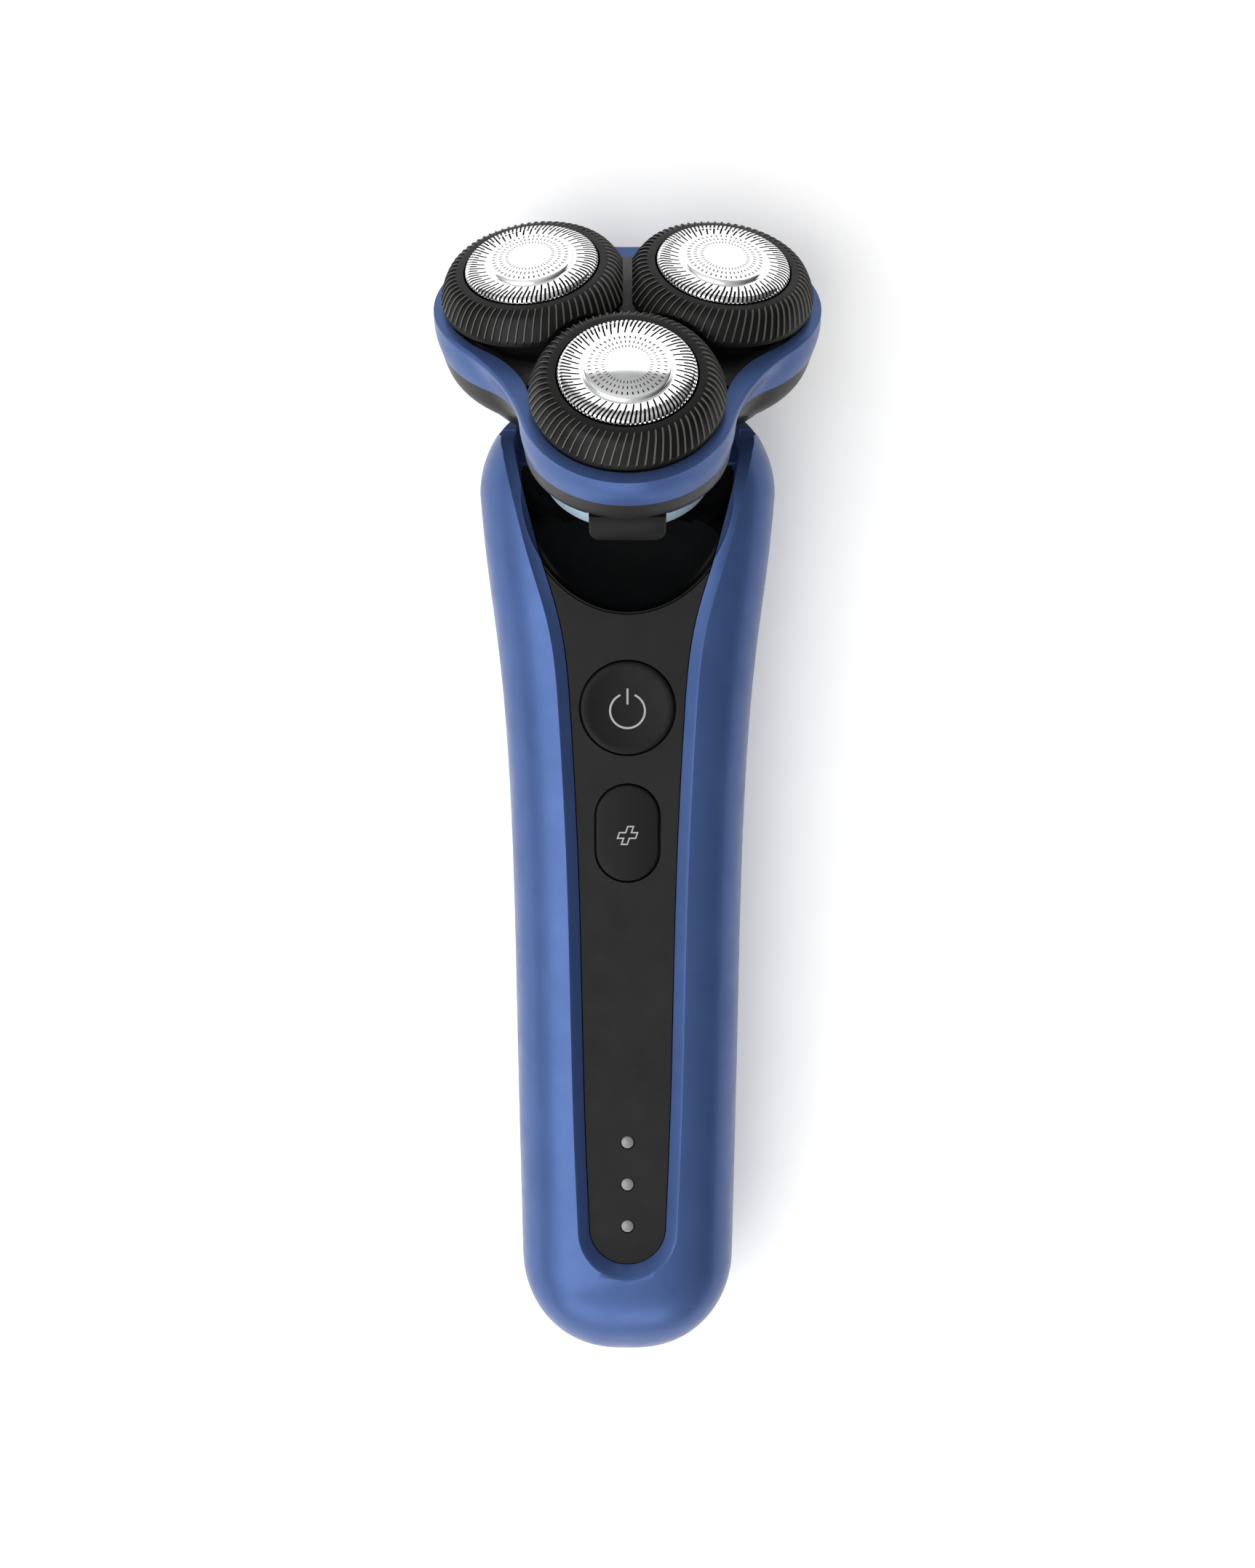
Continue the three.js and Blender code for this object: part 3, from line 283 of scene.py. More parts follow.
def combine(base, tools, operation):
    for tool in tools:
        modifier = base.modifiers.new(operation, "BOOLEAN")
        modifier.operation = operation
        modifier.solver = "MANIFOLD"
        modifier.object = tool
    bpy.context.view_layer.update()
    evaluated = base.evaluated_get(bpy.context.evaluated_depsgraph_get())
    mesh = bpy.data.meshes.new_from_object(evaluated)
    base.modifiers.clear()
    base.data = mesh
    for tool in tools:
        bpy.data.objects.remove(tool)
    return base


def cut(base, *tools):
    return combine(base, tools, "DIFFERENCE")


def join(base, *tools):
    return combine(base, tools, "UNION")


def common(base, *tools):
    return combine(base, tools, "INTERSECT")


def grown(outline, amount):
    """The outline moved outward by amount; it runs anticlockwise."""
    points = np.array(outline, float)
    along = np.roll(points, -1, 0) - np.roll(points, 1, 0)
    along /= np.linalg.norm(along, axis=1)[:, None]
    return [(x + a[1] * amount, y - a[0] * amount) for (x, y), a in zip(points, along)]


def slot_outline(radius, length, y=0.0, steps=24):
    reach = length / 2 - radius
    turns = [math.pi * k / steps for k in range(steps + 1)]
    upper = [(radius * math.cos(t), y + reach + radius * math.sin(t)) for t in turns]
    return upper + [(-px, 2 * y - py) for px, py in upper]


def ellipse(radius_x, radius_y, y, sides=120):
    turns = [2 * math.pi * k / sides for k in range(sides)]
    return [(radius_x * math.cos(t), y + radius_y * math.sin(t)) for t in turns]


def smooth_curve(stations, values):
    """A natural cubic through the given values, as a function of the station."""
    t, v = np.array(stations, float), np.array(values, float)
    gaps = np.diff(t)
    count = len(t)
    system = np.eye(count)
    right = np.zeros(count)
    for i in range(1, count - 1):
        system[i, i - 1:i + 2] = [gaps[i - 1], 2 * (gaps[i - 1] + gaps[i]), gaps[i]]
        right[i] = 6 * ((v[i + 1] - v[i]) / gaps[i] - (v[i] - v[i - 1]) / gaps[i - 1])
    bends = np.linalg.solve(system, right)

    def value(at):
        i = int(np.clip(np.searchsorted(t, at) - 1, 0, count - 2))
        a, b = (t[i + 1] - at) / gaps[i], (at - t[i]) / gaps[i]
        curve = ((a ** 3 - a) * bends[i] + (b ** 3 - b) * bends[i + 1]) * gaps[i] ** 2 / 6
        return a * v[i] + b * v[i + 1] + curve

    return value


def trefoil(spread, radius, waist, lobe_steps=40, waist_steps=16):
    """Three round lobes joined by hollow waists."""
    along, across = spread / 2, spread * math.sqrt(3) / 2
    drop = waist - along
    hollow = (drop ** 2 + across ** 2 - radius ** 2) / (2 * (radius - drop))
    points = []
    for angle in LOBE_ANGLES.values():
        lobe = Vector((spread * math.cos(angle), spread * math.sin(angle)))
        side = angle + math.pi / 3
        centre = Vector(((waist + hollow) * math.cos(side), (waist + hollow) * math.sin(side)))
        toward = centre - lobe
        half = (math.atan2(toward.y, toward.x) - angle + math.pi) % (2 * math.pi) - math.pi
        for i in range(lobe_steps + 1):
            turn = angle + half * (2 * i / lobe_steps - 1)
            points.append((lobe.x + radius * math.cos(turn), lobe.y + radius * math.sin(turn)))
        bend = math.pi / 3 - half
        for i in range(1, waist_steps):
            turn = side + math.pi + bend * (2 * i / waist_steps - 1)
            points.append((centre.x + hollow * math.cos(turn), centre.y + hollow * math.sin(turn)))
    return points


def trefoil_rings(rings, steps=6, inset=0.0):
    """Rings of a three-lobed skin, with smooth steps between the stated ones."""
    heights = [ring[0] for ring in rings]
    curves = [smooth_curve(heights, [ring[k] for ring in rings]) for k in (1, 2, 3)]
    made = []
    for low, high in zip(heights, heights[1:]):
        for i in range(steps):
            made.append(low + (high - low) * i / steps)
    made.append(heights[-1])
    result = []
    for z in made:
        spread, radius, waist = [curve(z) for curve in curves]
        result.append([(x, y, z) for x, y in trefoil(spread, radius - inset, waist - inset)])
    return result


# ---------------------------------------------------------------- materials


def link(tree, source, target):
    tree.links.new(source, target)


def node(tree, kind, **settings):
    made = tree.nodes.new(kind)
    for name, value in settings.items():
        if name in made.inputs:
            made.inputs[name].default_value = value
        else:
            setattr(made, name, value)
    return made


def ramp(tree, source, stops):
    made = tree.nodes.new("ShaderNodeValToRGB")
    elements = made.color_ramp.elements
    elements[0].position, elements[1].position = stops[0][0], stops[-1][0]
    for position, _ in stops[1:-1]:
        elements.new(position)
    for element, (_, value) in zip(elements, stops):
        element.color = (*value, 1) if len(value) == 3 else value
    link(tree, source, made.inputs["Fac"])
    return made.outputs["Color"]


def noise(tree, place, scale, detail=3.0, rough=0.55):
    made = node(tree, "ShaderNodeTexNoise", Scale=scale, Detail=detail, Roughness=rough)
    link(tree, place, made.inputs["Vector"])
    return made.outputs["Fac"]


def between(tree, source, low, high):
    made = node(tree, "ShaderNodeMapRange")
    made.inputs["From Min"].default_value = 0.3
    made.inputs["From Max"].default_value = 0.7
    made.inputs["To Min"].default_value = low
    made.inputs["To Max"].default_value = high
    link(tree, source, made.inputs["Value"])
    return made.outputs["Result"]


def bump(tree, height, distance, strength=1.0, after=None):
    made = node(tree, "ShaderNodeBump", Strength=strength, Distance=distance)
    link(tree, height, made.inputs["Height"])
    if after is not None:
        link(tree, after, made.inputs["Normal"])
    return made.outputs["Normal"]


def surface(name, color, roughness, metallic=0.0, grain=None, spread=0.06, wear=0.0, coat=0.0,
            specular=0.5, lines=None):
    """A moulded or machined surface: cloudy colour, uneven gloss, fine grain and faint scuffs.

    grain is (size, height) in metres; lines is (direction axis, spacing, height) for brushed metal.
    """
    made = bpy.data.materials.new(name)
    made.use_nodes = True
    tree = made.node_tree
    shader = tree.nodes["Principled BSDF"]
    shader.inputs["Metallic"].default_value = metallic
    shader.inputs["Coat Weight"].default_value = coat
    shader.inputs["Coat Roughness"].default_value = 0.12
    shader.inputs["Specular IOR Level"].default_value = specular
    place = tree.nodes.new("ShaderNodeTexCoord").outputs["Object"]
    darker = [c * (1 - spread) for c in color]
    lighter = [min(1.0, c * (1 + spread) + 0.002) for c in color]
    paint = ramp(tree, noise(tree, place, 90, 4), [(0.3, darker), (0.7, lighter)])
    if wear:
        scuffs = noise(tree, place, 620, 6, 0.7)
        worn = ramp(tree, scuffs, [(0.66, (0, 0, 0)), (0.74, (wear, wear, wear))])
        mix = node(tree, "ShaderNodeMix", data_type="RGBA")
        link(tree, worn, mix.inputs["Factor"])
        link(tree, paint, mix.inputs["A"])
        mix.inputs["B"].default_value = (*[min(1, c * 1.6 + 0.06) for c in color], 1)
        paint = mix.outputs["Result"]
    link(tree, paint, shader.inputs["Base Color"])
    smear = noise(tree, place, 260, 5)
    link(tree, between(tree, smear, roughness * 0.85, roughness * 1.2), shader.inputs["Roughness"])
    normal = None
    if grain:
        size, height = grain
        normal = bump(tree, noise(tree, place, 1 / size, 2), height)
    if lines:
        axis, spacing, height = lines
        stretch = node(tree, "ShaderNodeMapping")
        stretch.inputs["Scale"].default_value = [0.04 if k == axis else 1 for k in range(3)]
        link(tree, place, stretch.inputs["Vector"])
        scratch = noise(tree, stretch.outputs["Vector"], 1 / spacing, 3)
        normal = bump(tree, scratch, height, after=normal)
    if normal is not None:
        link(tree, normal, shader.inputs["Normal"])
    return made


BLUE = surface("satin_blue", (0.066, 0.118, 0.295), 0.34, 0.42, (0.00035, 0.000003), 0.05, 0.08, 0.04, 0.1)
PANEL_BLACK = surface("panel_black", (0.0095, 0.0097, 0.0097), 0.45, 0, (0.00025, 0.00001), specular=0.18)
BASE_BLACK = surface("base_black", (0.020, 0.019, 0.017), 0.38, 0, (0.0003, 0.000008), 0.08, 0.1, 0, 0.25)
GLOSS_BLACK = surface("gloss_black", (0.0016, 0.0016, 0.0016), 0.22, 0, (0.002, 0.000002), 0.05, 0, 0, 0.2)
BUTTON_BLACK = surface("button_black", (0.0065, 0.0065, 0.0065), 0.4, 0, (0.0002, 0.000008), specular=0.15)
CARRIER_BLACK = surface("carrier_black", (0.0062, 0.0059, 0.0055), 0.38, 0, (0.0002, 0.000006), specular=0.17)
RIB_TAUPE = surface("rib_taupe", (0.105, 0.101, 0.095), 0.45, 0, (0.0002, 0.000005), 0.1, 0, 0, 0.3)
RUBBER = surface("rear_rubber", (0.020, 0.020, 0.022), 0.78, 0, (0.00022, 0.00003), 0.1, 0.1, specular=0.3)
CYAN = surface("cyan_trim", (0.300, 0.420, 0.480), 0.3, 0.1, (0.0003, 0.000004), 0.05, 0.1, 0.3)
GREY = surface("grey_plastic", (0.060, 0.060, 0.062), 0.5, 0, (0.0003, 0.00001), 0.08, 0.2)
WHITE = surface("white_plastic", (0.72, 0.72, 0.69), 0.4, 0, (0.0004, 0.000006), 0.03, 0)
CAP_METAL = surface("cap_metal", (0.95, 0.955, 0.96), 0.10, 1.0, (0.003, 0.000002), 0.02, 0)
# Painted shade: the cutters' steel is coloured near-black, far darker than real steel, so the slots of the
# caps above them read dark.
SLOT_SHADE_CUTTER_STEEL = surface("cutter_steel", (0.055, 0.056, 0.058), 0.38, 1.0, None, 0.06, 0.1,
                       lines=(0, 0.0002, 0.000006))
STEEL = surface("steel", (0.48, 0.49, 0.51), 0.3, 1.0, None, 0.08, 0.3, lines=(1, 0.00015, 0.00001))
BRASS = surface("brass", (0.66, 0.50, 0.20), 0.28, 1.0, None, 0.08, 0.3, lines=(1, 0.0002, 0.000008))
CELL_WRAP = surface("cell_wrap", (0.030, 0.200, 0.150), 0.3, 0, (0.0012, 0.00001), 0.05, 0, 0.3)
BOARD = surface("board_green", (0.018, 0.105, 0.050), 0.4, 0, (0.0008, 0.00001), 0.2, 0, 0.2)
LAMP = surface("lamp_lens", (0.22, 0.22, 0.22), 0.30, 0, (0.0004, 0.000004), 0.05, 0, 0.3)
MARK_GREY = surface("mark_grey", (0.40, 0.41, 0.42), 0.45, 0, (0.0002, 0.000004), 0.05, 0)


def piece(name, made, body, material, replaces=(), sharp=math.radians(32)):
    """Turns a shape into a named piece in metres that rides on a body."""
    made.data.transform(Matrix.Scale(MM, 4))
    made.name = name
    made.data.name = name
    made.data.materials.clear()
    made.data.materials.append(material)
    made.data.polygons.foreach_set("use_smooth", [True] * len(made.data.polygons))
    made.data.set_sharp_from_angle(angle=sharp)
    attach(made, body)
    if replaces:
        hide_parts(*replaces)
    return made


# ---------------------------------------------------------------- handle shells

body_width = smooth_curve(BODY_WIDTH_STATIONS, BODY_HALF_WIDTHS)
opening_width = smooth_curve(OPENING_STATIONS, OPENING_HALF_WIDTHS)


def body_section(y, half_width, half_depth, sides):
    points = []
    for k in range(sides):
        turn = 2 * math.pi * k / sides
        cos, sin = math.cos(turn), math.sin(turn)
        power = 2 / BODY_SQUARENESS
        x = half_width * math.copysign(abs(cos) ** power, cos)
        z = BODY_MID_Z + half_depth * math.copysign(abs(sin) ** power, sin)
        points.append((x, y, z))
    return points


def body_loft(inset, top_length, sides=48, end_steps=8, middle_steps=12):
    depth = BODY_HALF_DEPTH - inset
    end_length = BODY_END_LENGTH - inset
    rings = [[(0, BODY_END_Y - end_length, BODY_MID_Z)]]
    for i in range(1, end_steps):
        turn = math.pi / 2 * i / end_steps
        width = (BODY_HALF_WIDTHS[0] - inset) * math.sin(turn)
        y = BODY_END_Y - end_length * math.cos(turn)
        rings.append(body_section(y, width, depth * math.sin(turn), sides))
    for i in range(middle_steps + 1):
        y = BODY_END_Y + (BODY_TOP_Y - BODY_END_Y) * i / middle_steps
        rings.append(body_section(y, body_width(y) - inset, depth, sides))
    for i in range(1, end_steps):
        turn = math.pi / 2 * i / end_steps
        width = (BODY_HALF_WIDTHS[-1] - inset) * math.cos(turn)
        y = BODY_TOP_Y + top_length * math.sin(turn)
        rings.append(body_section(y, width, depth * math.cos(turn), sides))
    rings.append([(0, BODY_TOP_Y + top_length, BODY_MID_Z)])
    return loft(rings)


def fine_body(inset=0.0, top_length=BODY_TOP_LENGTH):
    return body_loft(inset, top_length, 144, 28, 60)


def front_height(x, y):
    beyond_top = max(0, y - BODY_TOP_Y) / BODY_TOP_LENGTH
    beyond_end = max(0, BODY_END_Y - y) / BODY_END_LENGTH
    scale = math.sqrt(max(0.05, 1 - max(beyond_top, beyond_end) ** 2))
    width = body_width(min(max(y, BODY_END_Y), BODY_TOP_Y))
    share = min(0.999, abs(x) / (width * scale))
    return BODY_MID_Z + BODY_HALF_DEPTH * scale * (1 - share ** BODY_SQUARENESS) ** (1 / BODY_SQUARENESS)


def opening_outline(side_steps=70, end_steps=36):
    radius = OPENING_HALF_WIDTHS[0]
    points = []
    for i in range(end_steps):
        turn = math.pi + math.pi * i / end_steps
        points.append((radius * math.cos(turn), PANEL_END_Y + radius * math.sin(turn)))
    side = []
    for i in range(side_steps + 1):
        y = PANEL_END_Y + (OPENING_STATIONS[-1] - PANEL_END_Y) * i / side_steps
        side.append((opening_width(y), y))
    return points + side + [(-x, y) for x, y in side[:0:-1]]


OPENING = opening_outline()


def opening_tool():
    """The front opening with its sloping inner edge and softened lip."""
    lip = grown(OPENING, BEVEL_WIDTH)
    heights = [front_height(x, y) for x, y in lip]

    def ring(amount, height):
        return [(x, y, height(z)) for (x, y), z in zip(grown(OPENING, amount), heights)]

    return loft([
        ring(0, lambda z: SEAM_Z - 1),
        ring(0, lambda z: min(PANEL_TOP_Z - 0.1, z - 0.7)),
        ring(BEVEL_WIDTH - 0.25, lambda z: z - 0.30),
        ring(BEVEL_WIDTH + 0.05, lambda z: z - 0.08),
        ring(BEVEL_WIDTH + 0.45, lambda z: z + 0.15),
        ring(BEVEL_WIDTH + 0.9, lambda z: BODY_MID_Z + 2 * BODY_HALF_DEPTH),
    ])


def in_head(made):
    return placed(made, HEAD)


def scoop(growth, deck):
    """The bowl under the head and the room that the rocking head needs, all grown by growth."""
    bowl = bmesh.new()
    bmesh.ops.create_uvsphere(bowl, u_segments=128, v_segments=64, radius=1)
    mesh = bpy.data.meshes.new("bowl")
    bowl.to_mesh(mesh)
    bowl.free()
    made = bpy.data.objects.new("bowl", mesh)
    SCENE.collection.objects.link(made)
    radii = [radius + growth for radius in SCOOP_RADII]
    placed(made, Matrix.Translation((0, SCOOP_Y, SCOOP_Z)) @ Matrix.Diagonal((*radii, 1)))
    room = in_head(bar(NECK_CLEARANCE_RADIUS + growth, deck, 40, sides=128))
    reach = ROCKING_ROOM + growth
    rocking = [(z, spread, radius + reach, waist + reach) for z, spread, radius, waist in BASE_RINGS]
    rocking[0] = (rocking[0][0] - ROCKING_DROP - growth, *rocking[0][1:])
    low = TRIM_Z[0] - ROCKING_DROP - growth
    trim_room = bar(TRIM_LOBE_RADIUS + reach, low, 20, 0, -TRIM_LOBE_SPREAD, 128)
    return join(made, room, in_head(loft(trefoil_rings(rocking, 1))), in_head(trim_room))


def stadium_along_y(radius, width, low, high):
    """A bar along Y with a round-ended section."""
    outline = [(y, x) for x, y in slot_outline(radius, width)]
    turn = Matrix.Translation((0, 0, BODY_MID_Z)) @ Matrix.Rotation(math.pi / 2, 4, "X")
    return placed(prism(outline, -high, -low), turn)


def socket_hole():
    return stadium_along_y(SOCKET_HOLE_RADIUS, SOCKET_HOLE_WIDTH, -100, -80)


def slab(low, high):
    return box((-40, -120, low), (40, 80, high))


def front_shell():
    shell = cut(fine_body(), body_loft(WALL, CAVITY_TOP_LENGTH))
    half = common(shell, slab(SEAM_Z + SEAM_HALF_GAP, 40))
    return cut(half, opening_tool(), scoop(0, DECK_TOP), socket_hole())


def grip_outline():
    widths = smooth_curve(GRIP_STATIONS, GRIP_HALF_WIDTHS)
    foot_y, top_y = GRIP_STATIONS[0], GRIP_STATIONS[-1]
    foot_length, top_length = GRIP_END_LENGTHS
    side = [(widths(y), y) for y in np.linspace(foot_y, top_y, 60)]
    top = []
    foot = []
    for k in range(1, 13):
        turn = math.pi / 2 * k / 12
        narrowing = math.cos(turn) ** GRIP_SQUARENESS
        top.append((GRIP_HALF_WIDTHS[-1] * narrowing, top_y + top_length * math.sin(turn)))
        foot.append((GRIP_HALF_WIDTHS[0] * narrowing, foot_y - foot_length * math.sin(turn)))
    right = foot[:-1][::-1] + side + top[:-1]
    return right + [(-x, y) for x, y in right[::-1]]


GRIP = grip_outline()


def rear_shell():
    floor = fine_body(GRIP_DEPTH + 0.2, BODY_TOP_LENGTH - 1)
    recess = cut(prism(grown(GRIP, 0.15), -5, SEAM_Z - 3), floor)
    bosses = [common(bar(2.6, 1.5, SEAM_Z - 0.5, x, y), fine_body()) for x, y in SCREW_SPOTS]
    wells = [bar(2.0, -5, 6.0, x, y) for x, y in SCREW_SPOTS]
    shell = join(cut(fine_body(), body_loft(WALL, CAVITY_TOP_LENGTH)), *bosses)
    half = common(shell, slab(REAR_FACE_Z, SEAM_Z - SEAM_HALF_GAP))
    neck_well = in_head(bar(7.2, -7.2, 0))
    return cut(half, scoop(0, DECK_TOP), neck_well, socket_hole(), recess, *wells)


GROOVE_COUNT = 26
GROOVE_START_Y = -66
GROOVE_SPACING = 3.2
GROOVE_HALF_LENGTH = 7.0
GROOVE_HALF_WIDTH = 0.55
GROOVE_ARCH = 1.6
GROOVE_DEPTH = 0.45


def rear_grip():
    """The rubber back with shallow arched grooves across it."""
    pad = common(fine_body(), prism(GRIP, 0, SEAM_Z - 3.4))
    pad = cut(pad, fine_body(GRIP_DEPTH, BODY_TOP_LENGTH - 1))
    grooves = []
    for k in range(GROOVE_COUNT):
        y = GROOVE_START_Y + k * GROOVE_SPACING
        shares = np.linspace(-1, 1, 25)
        middle = [(GROOVE_HALF_LENGTH * t, y + GROOVE_ARCH * (1 - t * t)) for t in shares]
        low = [(x, at - GROOVE_HALF_WIDTH) for x, at in middle]
        high = [(x, at + GROOVE_HALF_WIDTH) for x, at in middle]
        grooves.append(prism(low + high[::-1], -1, GROOVE_DEPTH))
    return cut(pad, *grooves)


def panel_plate():
    low = PANEL_TOP_Z - PANEL_THICKNESS
    plate = prism(grown(OPENING, -0.15), low, PANEL_TOP_Z)
    mouth = prism(ellipse(SCOOP_RADII[0] + 0.3, SCOOP_RADII[1] + 0.3, SCOOP_Y), low - 1, 40)
    beyond = box((-30, SCOOP_Y, low - 1), (30, 80, 40))
    power = bar(POWER_HOLE_RADIUS, low - 1, 40, 0, POWER_Y, 128)
    mode = prism(slot_outline(MODE_HOLE_RADIUS, MODE_HOLE_LENGTH, MODE_Y), low - 1, 40)
    lamps = [bar(1.15, low - 1, 40, 0, y) for y in LAMP_YS]
    return cut(plate, mouth, beyond, power, mode, *lamps)


def neck_bowl():
    low = PANEL_TOP_Z - PANEL_THICKNESS - 0.3
    skin = cut(scoop(SCOOP_WALL, DECK_TOP - DECK_WALL), scoop(0, DECK_TOP))
    inner = body_loft(WALL + 0.3, CAVITY_TOP_LENGTH - 0.3, 96, 12, 16)
    between_lips = common(fine_body(), prism(grown(OPENING, -0.15), SEAM_Z + 0.5, 40))
    rim = prism(ellipse(SCOOP_RADII[0] + 0.15, SCOOP_RADII[1] + 0.15, SCOOP_Y), 10, PANEL_TOP_Z - 0.05)
    skin = common(skin, join(inner, between_lips))
    skin = common(skin, join(slab(-5, low), rim))
    return cut(skin, in_head(bar(5.9, -14, 0)), in_head(bar(30, DECK_TOP + 0.6, 60)))


piece("front_shell", front_shell(), "handle", BLUE, ["front_housing"])
piece("rear_shell", rear_shell(), "handle", BLUE, ["rear_housing"])
piece("rear_pad", rear_grip(), "handle", RUBBER, ["rear_grip"])
piece("panel", panel_plate(), "handle", PANEL_BLACK, ["control_panel"])
piece("scoop_bowl", neck_bowl(), "handle", GLOSS_BLACK, ["neck_bowl"])

# ---------------------------------------------------------------- buttons, lamps and socket


def ring_mark(radius, width, gap, low, high, steps=64):
    """A thin ring about Z with a gap of the given half angle at +Y."""
    turns = np.linspace(math.pi / 2 + gap, 2.5 * math.pi - gap, steps)
    outer = [((radius + width / 2) * math.cos(t), (radius + width / 2) * math.sin(t)) for t in turns]
    inner = [((radius - width / 2) * math.cos(t), (radius - width / 2) * math.sin(t)) for t in turns]
    return prism(outer + inner[::-1], low, high)


def power_button():
    top = PANEL_TOP_Z + 0.2
    rim = POWER_HOLE_RADIUS - 0.22
    low = PANEL_TOP_Z - PANEL_THICKNESS
    profile = [(0, low - 0.8), (rim + 0.8, low - 0.8), (rim + 0.8, low - 0.2), (rim, low - 0.2)]
    profile += [(rim, top - 0.45), (rim - 0.08, top - 0.2), (rim - 0.25, top - 0.06), (rim - 0.5, top)]
    profile += [(radius, top - 0.5 + 0.5 * (radius / (rim - 0.5)) ** 2) for radius in (6, 5, 4, 3, 2, 1)]
    return moved(turned(profile + [(0, top - 0.5)], 128), (0, POWER_Y, 0))


def power_mark():
    low, high = PANEL_TOP_Z - 0.4, PANEL_TOP_Z - 0.14
    ring = ring_mark(2.65, 0.3, math.radians(24), low, high)
    stroke = prism(slot_outline(0.15, 2.5, 2.2, 8), low, high)
    return moved(join(ring, stroke), (0, POWER_Y - 0.45, 0))


def mode_button():
    low = PANEL_TOP_Z - PANEL_THICKNESS
    top = PANEL_TOP_Z + 0.1
    outline = slot_outline(MODE_HOLE_RADIUS - 0.22, MODE_HOLE_LENGTH - 0.44, MODE_Y, 40)
    steps = [(0, low - 0.5), (0, top - 0.35), (-0.08, top - 0.15), (-0.22, top - 0.04), (-0.45, top)]
    key = loft([[(x, y, z) for x, y in grown(outline, amount)] for amount, z in steps])
    return join(key, prism(grown(outline, 0.7), low - 0.8, low - 0.2))


def plus_outline(reach, half):
    corners = [(half, half), (half, reach), (-half, reach), (-half, half), (-reach, half), (-reach, -half)]
    return corners + [(-x, -y) for x, y in corners]


def mode_mark():
    """A leaning plus sign drawn as an outline."""
    low, high = PANEL_TOP_Z - 0.2, PANEL_TOP_Z + 0.16
    lean = Matrix(((1, 0.35, 0, 0), (0, 1, 0, MODE_Y - 0.3), (0, 0, 1, 0), (0, 0, 0, 1)))
    outer = prism(plus_outline(1.5, 0.55), low, high)
    inner = prism(plus_outline(1.28, 0.33), low - 1, high + 1)
    return placed(cut(outer, inner), lean)


def lamp_lens(y):
    profile = [(0, 24.0), (1.0, 24.0), (1.0, 28.2), (0.93, 28.33), (0.7, 28.45), (0.35, 28.52), (0, 28.54)]
    return moved(turned(profile, 48), (0, y, 0))


piece("power_key", power_button(), "power_button", BUTTON_BLACK, ["power_button"])
piece("power_symbol", power_mark(), "power_button", MARK_GREY)
piece("mode_key", mode_button(), "mode_button", BUTTON_BLACK, ["mode_button"])
piece("mode_symbol", mode_mark(), "mode_button", MARK_GREY)
for number, (name, lamp_y) in enumerate(zip(LAMP_NODES, LAMP_YS), 1):
    piece(f"lamp_lens_{number}", lamp_lens(lamp_y), "handle", LAMP, [name])


def charge_socket():
    shell = stadium_along_y(SOCKET_HOLE_RADIUS - 0.2, SOCKET_HOLE_WIDTH - 0.4, *SOCKET_Y)
    mouth = stadium_along_y(MOUTH_RADIUS, MOUTH_WIDTH, SOCKET_Y[0] - 1.1, MOUTH_FLOOR_Y)
    lead_in = stadium_along_y(MOUTH_RADIUS + 0.4, MOUTH_WIDTH + 0.8, SOCKET_Y[0] - 1.1, SOCKET_Y[0] + 0.5)
    pins = []
    for x in PIN_XS:
        pin = placed(bar(PIN_HOLE_RADIUS, 80, 90), Matrix.Rotation(math.pi / 2, 4, "X"))
        pins.append(moved(pin, (x, 0, BODY_MID_Z)))
    return cut(shell, mouth, lead_in, *pins)


piece("socket_shell", charge_socket(), "handle", PANEL_BLACK, ["charge_socket"])


def housing_screw(x, y):
    """A pan-head screw seen from its head, with a cross recess."""
    head = [(0, 5.0), (1.0, 4.75), (1.5, 4.85), (1.75, 5.15), (1.75, 5.8)]
    profile = [*head, (1.0, 5.8), (1.0, 18.4), (0, 19)]
    recess = join(box((-1.1, -0.22, 4.0), (1.1, 0.22, 5.45)), box((-0.22, -1.1, 4.0), (0.22, 1.1, 5.45)))
    return moved(cut(turned(profile, 48), recess), (x, y, 0))


for number, (x, y) in enumerate(SCREW_SPOTS, 1):
    screw = f"housing_screw_{number}"
    piece(f"screw_{number}", housing_screw(x, y), "handle", STEEL, [screw])

# ---------------------------------------------------------------- head


def at_lobes(spread):
    return [(spread * math.cos(angle), spread * math.sin(angle)) for angle in LOBE_ANGLES.values()]


SPINDLE_SPREAD = 15.89


